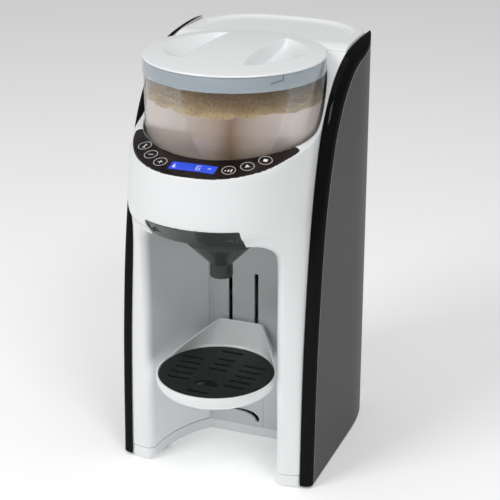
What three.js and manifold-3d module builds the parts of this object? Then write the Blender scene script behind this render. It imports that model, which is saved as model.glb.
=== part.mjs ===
// Formula dispenser: a counter-top machine that mixes baby formula powder with warm water.
// Millimetres, +Z up, the front faces -Y. The model is laid out from the powder container's
// axis (x = 0, y = 0) on the counter (z = 0); the last lines move it so that the origin is the
// centre of its footprint.
import * as THREE from 'three';
import { mergeVertices } from 'three/addons/utils/BufferGeometryUtils.js';
import Module from 'manifold-3d';

const wasm = await Module();
wasm.setup();

// ---------------------------------------------------------------- driving dimensions
const HALF_WIDTH = 102; // overall half width, across the side panels
const CORE_HALF = 89.6; // half width of the white body between the side panels
const FRONT_Y = -119; // most forward point of the head
const REAR_Y = 178; // most rearward point of the back
const REAR_START = 60; // where the rear outline starts to round
const REAR_ROUNDNESS = 2.9; // exponent of the rear superellipse
const WALL = 2.6; // moulded wall thickness

const BASE_BOTTOM = 2; // base pan above the counter, on its rubber feet
const BASE_TOP = 13.6; // seam between the base pan and the body
const BODY_BOTTOM = BASE_TOP + 0.4;
const BAY_HALF = 65.5; // half width of the bottle bay at its mouth
const BAY_BACK_HALF = 37; // half width of the bay's back wall
const BAY_BACK_Y = 22;
const BAY_TOP = 262; // underside of the bay's ceiling
const BAY_CORNER = 20; // radius of the arch's top corners
const BAY_WALL = 2.4;

const FUNNEL_HALF = 46; // half width of the funnel's front flange
const FUNNEL_TOP = 282; // top edge of the flange
const FUNNEL_Y = -36; // axis of the funnel's cone
const FUNNEL_RIM = 35; // radius of the cone's mouth
const CHUTE_Y = -42; // axis of the powder chute above it
const SPOUT_RADIUS = 11.2;
const SPOUT_BOTTOM = 206;
const SPOUT_TOP = 220; // where the cone starts

const LID_RADIUS = 87;
const LID_BOTTOM = 417;
const COLLAR_BOTTOM = 402.5;
const TUB_RADIUS = 85.6; // clear powder container
const TUB_FOOT_RADIUS = 82.5;
const TUB_FOOT_TOP = 338; // below this the container narrows to fit its cradle
const TUB_BOTTOM = 320;
const CRADLE_HOLE = 86.8; // round opening of the head around the container
const POWDER_TOP = 376;

const TRAY_Y = -51; // drip tray centre
const TRAY_RADIUS = 59.5;
const TRAY_TOP = 109.5;

const DECK_TOP = 416; // tank lid, level with the powder lid
const TANK_BOTTOM = 229;
const TANK_FRONT_Y = 95;
const TANK_HALF = 86;
const HINGE_Y = 174.8; // tank lid hinge axis
const HINGE_Z = 409;

const DRIVE_TEETH = 32;
const PINION_TEETH = 8;
const MODULE = 1.5; // gear module
const PINION_BEARING = 60; // direction from the drive gear to its pinion, degrees from +X

// ---------------------------------------------------------------- materials
function material(color, roughness, metalness = 0, opacity = 1) {
  return new THREE.MeshStandardMaterial({ color, roughness, metalness, opacity, transparent: opacity < 1 });
}
const WHITE = material(0xeceef0, 0.3);
const LINER = material(0xdde0e2, 0.4);
const CHARCOAL = material(0x4c4c4b, 0.45);
const GLOSS_BLACK = material(0x161616, 0.08);
const PANEL_BLACK = material(0x1a1210, 0.06);
const CLEAR = material(0xf4f6f6, 0.05, 0, 0.3);
const COLLAR_BLUE = material(0xbcc8d0, 0.1, 0, 0.6);
const SMOKE = material(0x55595c, 0.06, 0, 0.5);
const DARK_GREY = material(0x3e403f, 0.4);
const GRATE_BLACK = material(0x2b2d2c, 0.5);
const RUBBER = material(0x222222, 0.85);
const SILICONE = material(0xe9ecec, 0.6);
const POWDER = material(0xcdb58c, 0.95);
const LCD_BLUE = material(0x1a3cf0, 0.2);
const STEEL = material(0xb9bcbf, 0.3, 1);
const ALUMINIUM = material(0xa9adb0, 0.45, 1);
const BOARD_GREEN = material(0x1f6b3a, 0.5);
const WHITE_GEAR = material(0xf1efe6, 0.5);

// ---------------------------------------------------------------- solids
function solid(geometry) {
  const bare = geometry.index ? geometry.clone() : geometry;
  bare.deleteAttribute('normal');
  bare.deleteAttribute('uv');
  const merged = mergeVertices(bare, 1e-4);
  const vertProperties = new Float32Array(merged.attributes.position.array);
  const triVerts = new Uint32Array(merged.index.array);
  return new wasm.Manifold(new wasm.Mesh({ numProp: 3, vertProperties, triVerts }));
}

function geometryOf(manifold, tolerance = 0.22) {
  const mesh = manifold.simplify(tolerance).getMesh();
  const geometry = new THREE.BufferGeometry();
  geometry.setAttribute('position', new THREE.BufferAttribute(new Float32Array(mesh.vertProperties), 3));
  geometry.setIndex(new THREE.BufferAttribute(new Uint32Array(mesh.triVerts), 1));
  const flat = geometry.toNonIndexed();
  flat.computeVertexNormals();
  return flat;
}

function box(x0, x1, y0, y1, z0, z1) {
  const geometry = new THREE.BoxGeometry(x1 - x0, y1 - y0, z1 - z0);
  geometry.translate((x0 + x1) / 2, (y0 + y1) / 2, (z0 + z1) / 2);
  return solid(geometry);
}

// A plan outline raised from z0 to z1.
function slab(shape, z0, z1, curveSegments = 12) {
  const geometry = new THREE.ExtrudeGeometry(shape, { depth: z1 - z0, bevelEnabled: false, curveSegments });
  geometry.translate(0, 0, z0);
  return solid(geometry);
}

// An outline in (y, z) pushed along X from x0 to x1.
function prismX(points, x0, x1) {
  const shape = new THREE.Shape(points.map(([y, z]) => new THREE.Vector2(y, z)));
  const geometry = new THREE.ExtrudeGeometry(shape, { depth: x1 - x0, bevelEnabled: false });
  geometry.applyMatrix4(new THREE.Matrix4().set(0, 0, 1, x0, 1, 0, 0, 0, 0, 1, 0, 0, 0, 0, 0, 1));
  return solid(geometry);
}

// An outline in (x, z) pushed along Y from y0 to y1.
function prismY(shape, y0, y1, curveSegments = 12) {
  const geometry = new THREE.ExtrudeGeometry(shape, { depth: y1 - y0, bevelEnabled: false, curveSegments });
  geometry.applyMatrix4(new THREE.Matrix4().set(1, 0, 0, 0, 0, 0, -1, y1, 0, 1, 0, 0, 0, 0, 0, 1));
  return solid(geometry);
}

// A body of revolution about the vertical line through (x, y); points are [radius, z].
function turned(points, segments, x = 0, y = 0) {
  const profile = points.map(([r, z]) => new THREE.Vector2(r, z));
  const geometry = new THREE.LatheGeometry(profile, segments);
  geometry.rotateX(Math.PI / 2);
  geometry.translate(x, y, 0);
  return solid(geometry);
}

function disc(radius, z0, z1, segments = 24, x = 0, y = 0) {
  return turned([[0, z0], [radius, z0], [radius, z1], [0, z1]], segments, x, y);
}

function ring(inner, outer, z0, z1, segments = 24, x = 0, y = 0) {
  return turned([[inner, z0], [outer, z0], [outer, z1], [inner, z1], [inner, z0]], segments, x, y);
}

function cylinderAlong(axis, radius, length, centre, segments = 16) {
  const geometry = new THREE.CylinderGeometry(radius, radius, length, segments);
  if (axis === 'x') geometry.rotateZ(Math.PI / 2);
  if (axis === 'z') geometry.rotateX(Math.PI / 2);
  geometry.translate(...centre);
  return solid(geometry);
}

// A round tube or rod along a smooth line through the points.
function pipe(points, radius, steps, sides = 8) {
  const path = new THREE.CatmullRomCurve3(points.map((p) => new THREE.Vector3(...p)), false, 'centripetal');
  const section = new THREE.Shape();
  for (let i = 0; i < sides; i += 1) {
    const angle = (2 * Math.PI * i) / sides;
    const x = radius * Math.cos(angle);
    const y = radius * Math.sin(angle);
    if (i === 0) section.moveTo(x, y);
    else section.lineTo(x, y);
  }
  section.closePath();
  return solid(new THREE.ExtrudeGeometry(section, { steps, extrudePath: path, bevelEnabled: false }));
}

// A skin over a stack of closed convex rings, each with the same number of [x, y, z] points,
// listed anticlockwise seen from the far end of the stack.
function loft(rings) {
  const count = rings[0].length;
  const positions = rings.flat(2);
  const index = [];
  for (let level = 0; level < rings.length - 1; level += 1) {
    for (let i = 0; i < count; i += 1) {
      const a = level * count + i;
      const b = level * count + ((i + 1) % count);
      index.push(a, b, b + count, a, b + count, a + count);
    }
  }
  for (const [level, flip] of [[0, true], [rings.length - 1, false]]) {
    const centre = positions.length / 3;
    const points = rings[level];
    positions.push(...[0, 1, 2].map((k) => points.reduce((sum, p) => sum + p[k], 0) / count));
    for (let i = 0; i < count; i += 1) {
      const a = level * count + i;
      const b = level * count + ((i + 1) % count);
      if (flip) index.push(centre, b, a);
      else index.push(centre, a, b);
    }
  }
  const geometry = new THREE.BufferGeometry();
  geometry.setAttribute('position', new THREE.Float32BufferAttribute(positions, 3));
  geometry.setIndex(index);
  return solid(geometry);
}

function outline(points) {
  return new THREE.Shape(points.map(([x, y]) => new THREE.Vector2(x, y)));
}

// A rectangle with cut corners.
function chamferedRect(x0, x1, y0, y1, c) {
  return outline([[x0 + c, y0], [x1 - c, y0], [x1, y0 + c], [x1, y1 - c],
    [x1 - c, y1], [x0 + c, y1], [x0, y1 - c],
    [x0, y0 + c]]);
}

function roundedRect(x0, x1, y0, y1, r) {
  const shape = new THREE.Shape();
  shape.moveTo(x0 + r, y0);
  shape.lineTo(x1 - r, y0);
  shape.absarc(x1 - r, y0 + r, r, -Math.PI / 2, 0, false);
  shape.lineTo(x1, y1 - r);
  shape.absarc(x1 - r, y1 - r, r, 0, Math.PI / 2, false);
  shape.lineTo(x0 + r, y1);
  shape.absarc(x0 + r, y1 - r, r, Math.PI / 2, Math.PI, false);
  shape.lineTo(x0, y0 + r);
  shape.absarc(x0 + r, y0 + r, r, Math.PI, 1.5 * Math.PI, false);
  return shape;
}

// ---------------------------------------------------------------- body lines
// The side line is where the white body meets the side panels: it leans back as it rises
// from the foot, sweeps round beside the powder container and runs level along the deck.
const sideLine = new THREE.SplineCurve([
  new THREE.Vector2(-58, 2),
  new THREE.Vector2(-52, 134),
  new THREE.Vector2(-39, 246),
  new THREE.Vector2(-24, 314),
  new THREE.Vector2(-7, 357),
  new THREE.Vector2(21, 391),
  new THREE.Vector2(56, 410),
  new THREE.Vector2(100, 415.5),
  new THREE.Vector2(150, 416),
]);
const sideSamples = sideLine.getPoints(120);

function sideY(z) {
  const i = sideSamples.findIndex((p) => p.y >= z);
  if (i <= 0) return i === 0 ? sideSamples[0].x : 150;
  const [a, b] = [sideSamples[i - 1], sideSamples[i]];
  return a.x + ((b.x - a.x) * (z - a.y)) / (b.y - a.y);
}

function interpolate(table, t) {
  const i = table.findIndex((row) => row[0] >= t);
  if (i <= 0) return i === 0 ? table[0][1] : table[table.length - 1][1];
  const [[t0, v0], [t1, v1]] = [table[i - 1], table[i]];
  return v0 + ((v1 - v0) * (t - t0)) / (t1 - t0);
}

// Height of the head's top surface beside the container, by y, and how it falls away outwards.
const RIM_HEIGHT = [[-88, 340], [-64, 344.5], [-32, 348.5], [-14, 353], [-3, 361], [5, 371],
  [21, 390], [40, 402], [56, 409], [80, 415], [200, 415]];
const PANEL_SLOPE = 0.27;

function topHeight(x, y) {
  const r = Math.hypot(x, y);
  const outward = Math.max(0, r - 88);
  const rimY = y < 0 ? (y * 88) / Math.max(r, 88) : y;
  const slope = y < 0 ? PANEL_SLOPE * Math.min(1, -y / 30) : 0;
  return interpolate(RIM_HEIGHT, rimY) - slope * outward;
}

// Nose of the white body at height z: depth ahead of the side line, and roundness.
const NOSE_DEPTH = [[2, 9], [14, 9], [134, 24], [218, 43], [250, 57], [265, 70], [279, 86],
  [300, 92.5], [318, 96.8], [328, 99.5], [334, 99.5], [340, 95], [430, 95]];
const NOSE_ROUNDNESS = [[2, 1.8], [218, 1.7], [265, 1.85], [279, 2], [300, 2.1], [430, 2.15]];
const NOSE_LEVELS = [2, 14, 134, 218, 250, 265, 279, 300, 318, 328, 334, 340, 430];
const NOSE_STEPS = 22;

function noseRing(z, inset, rearY) {
  const y0 = Math.min(sideY(z), -14);
  const depth = interpolate(NOSE_DEPTH, z) - inset;
  const power = 2 / interpolate(NOSE_ROUNDNESS, z);
  const half = CORE_HALF - inset;
  const points = [];
  for (let i = 0; i <= NOSE_STEPS; i += 1) {
    const angle = (Math.PI * i) / NOSE_STEPS;
    const x = -half * Math.sign(Math.cos(angle)) * Math.abs(Math.cos(angle)) ** power;
    const y = y0 - depth * Math.abs(Math.sin(angle)) ** power;
    points.push([x, y, z]);
  }
  points.push([half, rearY, z], [-half, rearY, z]);
  return points;
}

function noseBody(inset, z0, z1, rearY) {
  const levels = [z0, ...NOSE_LEVELS.filter((z) => z > z0 && z < z1), z1];
  return loft(levels.map((z) => noseRing(z, inset, rearY)));
}

function rearY(x, inset) {
  const reach = Math.min(1, Math.abs(x) / (HALF_WIDTH - inset));
  return REAR_START + (REAR_Y - REAR_START - inset) * (1 - reach ** REAR_ROUNDNESS) ** (1 / REAR_ROUNDNESS);
}

// Plan outline from frontY back to the rear curve, no wider than half.
function rearOutline(inset, half, frontY) {
  const points = [[-half, frontY], [half, frontY]];
  const steps = 18;
  for (let i = 0; i <= steps; i += 1) {
    const x = half * Math.cos((Math.PI * i) / steps);
    points.push([x, rearY(x, inset)]);
  }
  return outline(points);
}

// The bottle bay's plan, open to the front, grown outwards by margin.
function bayOutline(margin, frontY) {
  const shape = new THREE.Shape();
  shape.moveTo(-BAY_HALF - margin, frontY);
  shape.lineTo(BAY_HALF + margin, frontY);
  shape.lineTo(BAY_HALF + margin, -52);
  shape.quadraticCurveTo(BAY_HALF - 2 + margin, -8, BAY_BACK_HALF + margin * 0.6, BAY_BACK_Y + margin);
  shape.lineTo(-BAY_BACK_HALF - margin * 0.6, BAY_BACK_Y + margin);
  shape.quadraticCurveTo(-BAY_HALF + 2 - margin, -8, -BAY_HALF - margin, -52);
  shape.closePath();
  return shape;
}

function archShape(half, top, corner) {
  const shape = new THREE.Shape();
  shape.moveTo(-half, -5);
  shape.lineTo(half, -5);
  shape.lineTo(half, top - corner);
  shape.absarc(half - corner, top - corner, corner, 0, Math.PI / 2, false);
  shape.lineTo(-half + corner, top);
  shape.absarc(-half + corner, top - corner, corner, Math.PI / 2, Math.PI, false);
  shape.closePath();
  return shape;
}

// Everything above the head's top surface, raised by lift, as a thick ring about the axis.
function aboveTop(lift) {
  const radii = [78, 88, 104, 136];
  const steps = 36;
  const at = (i, r, z) => {
    const angle = (2 * Math.PI * i) / steps;
    return [r * Math.sin(angle), -r * Math.cos(angle), z];
  };
  const positions = [];
  const index = [];
  const across = radii.length * 2;
  for (let i = 0; i < steps; i += 1) {
    for (const r of radii) {
      const [x, y] = at(i, r, 0);
      positions.push(x, y, topHeight(x, y) + lift);
    }
    for (const r of [...radii].reverse()) {
      const [x, y] = at(i, r, 0);
      positions.push(x, y, 470);
    }
  }
  for (let i = 0; i < steps; i += 1) {
    const next = (i + 1) % steps;
    for (let j = 0; j < across; j += 1) {
      const k = (j + 1) % across;
      const [a, b, c, d] = [i * across + j, i * across + k, next * across + k, next * across + j];
      index.push(a, c, b, a, d, c);
    }
  }
  const geometry = new THREE.BufferGeometry();
  geometry.setAttribute('position', new THREE.Float32BufferAttribute(positions, 3));
  geometry.setIndex(index);
  return solid(geometry);
}

// Points of the side line moved square to itself into the body by distance.
function sideOffset(distance, count) {
  const points = [];
  for (let i = 0; i <= count; i += 1) {
    const p = sideLine.getPointAt(i / count);
    const t = sideLine.getTangentAt(i / count);
    points.push([p.x + t.y * distance, p.y - t.x * distance]);
  }
  return points;
}

// ---------------------------------------------------------------- scene helpers
const machine = new THREE.Group();

function add(name, manifold, mat, parent = machine, position = [0, 0, 0]) {
  const mesh = new THREE.Mesh(geometryOf(manifold), mat);
  mesh.name = name;
  mesh.position.set(...position);
  parent.add(mesh);
  return mesh;
}

// ---------------------------------------------------------------- base and feet
function buildBase() {
  const plan = rearOutline(3.6, CORE_HALF - 0.4, -40);
  let pan = slab(plan, BASE_BOTTOM, BASE_TOP).add(noseBody(0.4, BASE_BOTTOM, BASE_TOP, 0));
  const innerPlan = rearOutline(3.6 + WALL, CORE_HALF - 0.4 - WALL, -40);
  const inner = slab(innerPlan, BASE_BOTTOM + WALL, BASE_TOP + 5)
    .add(noseBody(0.4 + WALL, BASE_BOTTOM + WALL, BASE_TOP + 5, 0))
    .subtract(slab(bayOutline(WALL, -140), 0, 40));
  pan = pan.subtract(inner).subtract(slab(bayOutline(0, -140), -5, 40));
  const footSpots = [[-72, -30], [72, -30], [-62, 130], [62, 130]];
  for (const [x, y] of footSpots) pan = pan.subtract(disc(8.4, 0, 3.6, 12, x, y));
  for (const [x, y] of [[-50, 60], [50, 60]]) pan = pan.subtract(disc(2.3, 0, 10, 10, x, y));
  add('base_pan', pan, WHITE);

  const names = ['front_left', 'front_right', 'rear_left', 'rear_right'];
  names.forEach((name, i) => {
    const [x, y] = footSpots[i];
    add(`rubber_foot_${name}`, turned([[0, 0], [6.6, 0], [8, 1], [8, 3.3], [0, 3.3]], 12, x, y), RUBBER);
  });
  [[-50, 60], [50, 60]].forEach(([x, y], i) => {
    const head = disc(4, 4.9, 7, 12, x, y);
    add(`frame_screw_${i + 1}`, head.add(disc(1.6, 6.5, 20, 8, x, y)), STEEL);
  });
}

// ---------------------------------------------------------------- white body
function buildFrontShell() {
  const outer = noseBody(0, BODY_BOTTOM, 430, 64);
  const inner = noseBody(WALL, BODY_BOTTOM - 10, 425, 90).subtract(aboveTop(-5.2));
  const tuck = sideOffset(18, 24).filter(([, z]) => z > 20);
  const kept = prismX([[-140, 10], [-140, 440], [64, 440], [64, 388],
    ...tuck.filter(([y]) => y < 62).reverse(),
    [-40, 10]], -100, 100);
  let shell = outer.subtract(inner).intersect(kept).subtract(aboveTop(0));
  shell = shell.subtract(disc(CRADLE_HOLE, 300, 470, 52));
  shell = shell.subtract(prismY(archShape(BAY_HALF, BAY_TOP, BAY_CORNER), -140, 80));
  shell = shell.subtract(box(-FUNNEL_HALF - 0.5, FUNNEL_HALF + 0.5, -140, 80, 240, FUNNEL_TOP + 0.4));
  shell = shell.subtract(crescent(0.3).intersect(aboveTop(-3)));
  shell = shell.subtract(crescent(-4));
  add('front_shell', shell, WHITE);
}

// The control panel: a crescent between the container's rim and the nose, as a tall column.
function crescent(grow) {
  const halfWidth = 86.4 + grow;
  const depth = 116.2 + grow;
  const power = 2 / 2.3;
  const points = [];
  const steps = 24;
  for (let i = 0; i <= steps; i += 1) {
    const angle = -Math.PI / 2 + (Math.PI * i) / steps;
    const x = halfWidth * Math.sign(angle) * Math.abs(Math.sin(angle)) ** power;
    points.push([x, -depth * Math.max(0, Math.cos(angle)) ** power]);
  }
  const column = slab(outline(points), 300, 400).intersect(box(-100, 100, -130, -44 + grow, 290, 410));
  return column.subtract(disc(88 - grow, 290, 410, 52));
}

function buildBayLiner() {
  const inside = noseBody(WALL + 0.4, BODY_BOTTOM, BAY_TOP + 4, 60);
  const walls = slab(bayOutline(BAY_WALL, -130), BODY_BOTTOM, BAY_TOP + BAY_WALL)
    .subtract(slab(bayOutline(0, -140), BODY_BOTTOM - 5, BAY_TOP));
  let liner = walls.intersect(inside);
  liner = liner.subtract(box(-48, 48, -140, 4, BAY_TOP - 4, BAY_TOP + 10));
  // Two upright slots take the drip tray's hooks at any height.
  for (const x of [-14, 14]) liner = liner.subtract(box(x - 2.2, x + 2.2, 15, 30, 40, 186));
  add('bay_liner', liner, LINER);
}

function buildFunnelGuide() {
  // A channel under the head that holds the funnel's top plate by its two edges.
  let guide = box(-47.5, 47.5, -84, 3.4, 266.4, 283).subtract(box(-45.8, 45.8, -90, 1.6, 268.4, 280.6));
  guide = guide.subtract(box(-42, 42, -90, 0, 260, 275));
  guide = guide.subtract(disc(13.4, 270, 290, 24, 0, CHUTE_Y)).subtract(disc(6.4, 270, 290, 16, 0, -18));
  add('funnel_guide', guide, LINER);
}

// ---------------------------------------------------------------- side panels and trims
// How far the panel's skin is set in from the side line, from its inner edge to its flank.
const ROLL = [[90, 0], [94, 0.8], [97, 2.5], [99.5, 5.5], [101.2, 9], [102, 14]];

function rollScale(t) {
  return interpolate([[0, 0.45], [0.35, 0.45], [0.62, 0.8], [0.72, 1], [1, 0.8]], t);
}

function sideBody(inset, xEnd) {
  const rows = ROLL.map(([x, d]) => [90 + ((x - 90) * (xEnd - 90)) / 12, d]);
  const count = 20;
  return loft(rows.map(([x, d]) => {
    const ringPoints = [];
    for (let i = 0; i <= count; i += 1) {
      const t = i / count;
      const p = sideLine.getPointAt(t);
      const tangent = sideLine.getTangentAt(t);
      const depth = d * rollScale(t) + inset;
      ringPoints.push([x, p.x + tangent.y * depth, p.y - tangent.x * depth]);
    }
    const last = ringPoints[count];
    const first = ringPoints[0];
    ringPoints.push([x, 190, last[2]], [x, 190, 2.6 - inset], [x, first[1], 2.6 - inset]);
    return ringPoints.reverse();
  }));
}

function buildSides() {
  const shellWall = 3;
  const outer = sideBody(0, 102).intersect(slab(rearOutline(0, 102, -90), 0, 440));
  const hollow = sideBody(shellWall, 99).intersect(slab(rearOutline(shellWall, 99, -90), -5, 440));
  const innerCut = hollow.add(box(80, 90.4, -90, 190, -5, 440));
  const skin = outer.subtract(innerCut).intersect(box(90, 110, -90, 200, 2.6, 440));
  const seam = (shift) => {
    const pts = [];
    const widths = [[0, 9], [0.3, 9], [0.5, 9.5], [0.62, 13], [0.72, 14.5], [1, 9]];
    for (let i = 0; i <= 20; i += 1) {
      const p = sideLine.getPointAt(i / 20);
      const tangent = sideLine.getTangentAt(i / 20);
      const d = interpolate(widths, i / 20) + shift;
      pts.push([p.x + tangent.y * d, p.y - tangent.x * d]);
    }
    return prismX([...pts, [200, pts[20][1]], [200, -10], [pts[0][0], -10]], 80, 110);
  };
  const trim = skin.subtract(seam(-0.15));
  const panel = skin.intersect(seam(0.15));
  const mirror = (m) => m.mirror([1, 0, 0]);
  add('edge_trim_right', trim, GLOSS_BLACK);
  add('edge_trim_left', mirror(trim), GLOSS_BLACK);
  add('side_panel_right', panel, CHARCOAL);
  add('side_panel_left', mirror(panel), CHARCOAL);
}

// ---------------------------------------------------------------- back
const TANK_SEAT_Z = 222;

function buildBack() {
  const half = CORE_HALF;
  let back = slab(rearOutline(0, half, 100), BODY_BOTTOM, TANK_BOTTOM - 1)
    .subtract(slab(rearOutline(3, half + 5, 80), BODY_BOTTOM - 5, TANK_BOTTOM + 5))
    .subtract(box(-100, 100, 90, 128, 0, 300));
  for (let i = 0; i < 5; i += 1) {
    const z = 158 + i * 9;
    back = back.subtract(prismY(chamferedRect(-36, 36, z, z + 3, 0.9), 150, 190));
  }
  back = back.subtract(prismY(chamferedRect(-12.4, 12.4, 30, 48, 2), 150, 190));
  add('back_panel', back, CHARCOAL);

  // Shelf that carries the tank, with the socket its valve drops into.
  let seat = slab(rearOutline(3.6, 84, 92), TANK_SEAT_Z, TANK_SEAT_Z + 4);
  seat = seat.add(disc(12, TANK_SEAT_Z - 16, TANK_SEAT_Z + 2, 18, 0, 132));
  seat = seat.subtract(disc(9, TANK_SEAT_Z - 12, TANK_SEAT_Z + 20, 18, 0, 132));
  seat = seat.add(disc(4.4, TANK_SEAT_Z - 26, TANK_SEAT_Z - 13, 12, 0, 132));
  seat = seat.subtract(disc(2, TANK_SEAT_Z - 30, TANK_SEAT_Z - 8, 12, 0, 132));
  add('tank_seat', seat, DARK_GREY);

  // Bulkhead that closes the tank's bay towards the mechanism, with a ledge behind the container.
  let bulkhead = box(-83, 83, 89, 91.4, TANK_SEAT_Z + 4.3, 406).add(box(-83, 83, 66, 91.4, 404, 406));
  bulkhead = bulkhead.subtract(disc(CRADLE_HOLE + 0.8, 400, 410, 52));
  add('tank_bulkhead', bulkhead, LINER);

  // Mains inlet with its two contacts at the foot of the back.
  const innerY = rearY(0, 3);
  let inlet = prismY(chamferedRect(-12, 12, 30.4, 47.6, 2), innerY - 22, innerY + 1.6);
  inlet = inlet.add(prismY(chamferedRect(-16, 16, 26, 52, 3), innerY - 5, innerY - 2.2));
  inlet = inlet.subtract(prismY(chamferedRect(-9.5, 9.5, 32.6, 45.4, 2), innerY - 18, innerY + 5));
  for (const x of [-4, 4]) inlet = inlet.add(cylinderAlong('y', 1.3, 14, [x, innerY - 12, 39], 12));
  add('power_inlet', inlet, RUBBER);
}

// ---------------------------------------------------------------- water tank
function buildTank() {
  const top = 408;
  const outer = slab(rearOutline(0, TANK_HALF + 2.8, TANK_FRONT_Y), TANK_BOTTOM, top);
  const cavity = slab(rearOutline(2.6, TANK_HALF, TANK_FRONT_Y + 2.6), TANK_BOTTOM + 3, top + 5);
  let tank = outer.subtract(cavity);
  tank = tank.subtract(disc(5.4, TANK_BOTTOM - 5, TANK_BOTTOM + 8, 16, 0, 132));
  // Valve stem guide under the tank, entering the seat's socket.
  tank = tank.add(ring(5.4, 8.4, TANK_BOTTOM - 12, TANK_BOTTOM + 1, 16, 0, 132));
  // Hinge knuckle on the rear rim, with the pin's bore.
  tank = tank.add(box(-16, 16, 171.5, 177.9, 400, 406.5));
  tank = tank.add(cylinderAlong('x', 3, 30, [0, HINGE_Y, HINGE_Z], 14)
    .add(box(-15, 15, HINGE_Y - 3, HINGE_Y + 2.9, 404, HINGE_Z)));
  for (const x of [-21.4, 21.4]) tank = tank.subtract(box(x - 5.5, x + 5.5, 168, 190, 405.6, 420));
  tank = tank.subtract(cylinderAlong('x', 1.55, 60, [0, HINGE_Y, HINGE_Z], 12));
  add('water_tank', tank, SMOKE);

  add('tank_hinge_pin', cylinderAlong('x', 1.25, 56, [0, HINGE_Y, HINGE_Z], 12), STEEL);

  // Check valve: the stem is pushed up by the seat's post when the tank is set down.
  const stem = turned([[0, 213], [3.6, 213], [3.6, 231], [7.6, 233.4], [7.6, 235.4], [2, 235.4], [2, 246],
    [0, 246]], 20, 0, 132);
  add('tank_valve_stem', stem, WHITE_GEAR);
  const coil = [];
  for (let i = 0; i <= 40; i += 1) {
    const angle = (2 * Math.PI * i) / 8;
    coil.push([3.4 * Math.cos(angle), 132 + 3.4 * Math.sin(angle), 236.4 + i * 0.26]);
  }
  add('tank_valve_spring', pipe(coil, 0.5, 40, 4), STEEL);
  let cage = ring(8.6, 10.4, TANK_BOTTOM + 3.3, 252, 14, 0, 132).add(disc(10.4, 249.6, 252, 14, 0, 132));
  cage = cage.subtract(disc(2.5, 245, 255, 10, 0, 132));
  for (let i = 0; i < 4; i += 1) {
    const angle = (Math.PI * (i + 0.5)) / 2;
    const [x, y] = [9.5 * Math.cos(angle), 132 + 9.5 * Math.sin(angle)];
    cage = cage.subtract(box(x - 2.5, x + 2.5, y - 2.5, y + 2.5, 235, 244));
  }
  add('tank_valve_cage', cage, WHITE_GEAR);
}

function buildTankLid() {
  const arcRadius = 91;
  const under = DECK_TOP - 7;
  const plan = rearOutline(3.2, CORE_HALF - 0.4, 64.6);
  let lid = slab(plan, under, DECK_TOP).subtract(disc(arcRadius, 390, 440, 52));
  // Shallow dished top inside a raised rim.
  const dish = slab(rearOutline(13, CORE_HALF - 9, 64.6), DECK_TOP - 2.6, DECK_TOP + 5)
    .subtract(disc(arcRadius, 390, 440, 52));
  lid = lid.subtract(dish);
  lid = lid.subtract(slab(rearOutline(6, CORE_HALF - 3, 97), under - 1, DECK_TOP - 5));
  // Ears around the hinge knuckle.
  const clearance = box(-15.6, 15.6, 168, 190, 395, DECK_TOP + 5).intersect(box(-16, 16, 168, 190, 400, 440));
  const relief = cylinderAlong('x', 5, 34, [0, HINGE_Y, HINGE_Z], 14);
  lid = lid.subtract(relief.add(clearance.intersect(box(-20, 20, 170.6, 190, 395, DECK_TOP - 2.4))));
  for (const side of [-1, 1]) {
    const ear = cylinderAlong('x', 2.9, 10, [side * 21.4, HINGE_Y, HINGE_Z], 14)
      .add(box(side * 21.4 - 5, side * 21.4 + 5, HINGE_Y - 3.6, HINGE_Y, HINGE_Z - 2.5, HINGE_Z + 1.5));
    lid = lid.add(ear);
    lid = lid.subtract(cylinderAlong('x', 1.55, 14, [side * 21.4, HINGE_Y, HINGE_Z], 12));
  }
  // Finger notch on the left edge.
  lid = lid.subtract(cylinderAlong('y', 4.2, 16, [-CORE_HALF + 0.4, 78, under + 0.5], 16));
  add('tank_lid', lid, WHITE);
}

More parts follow.
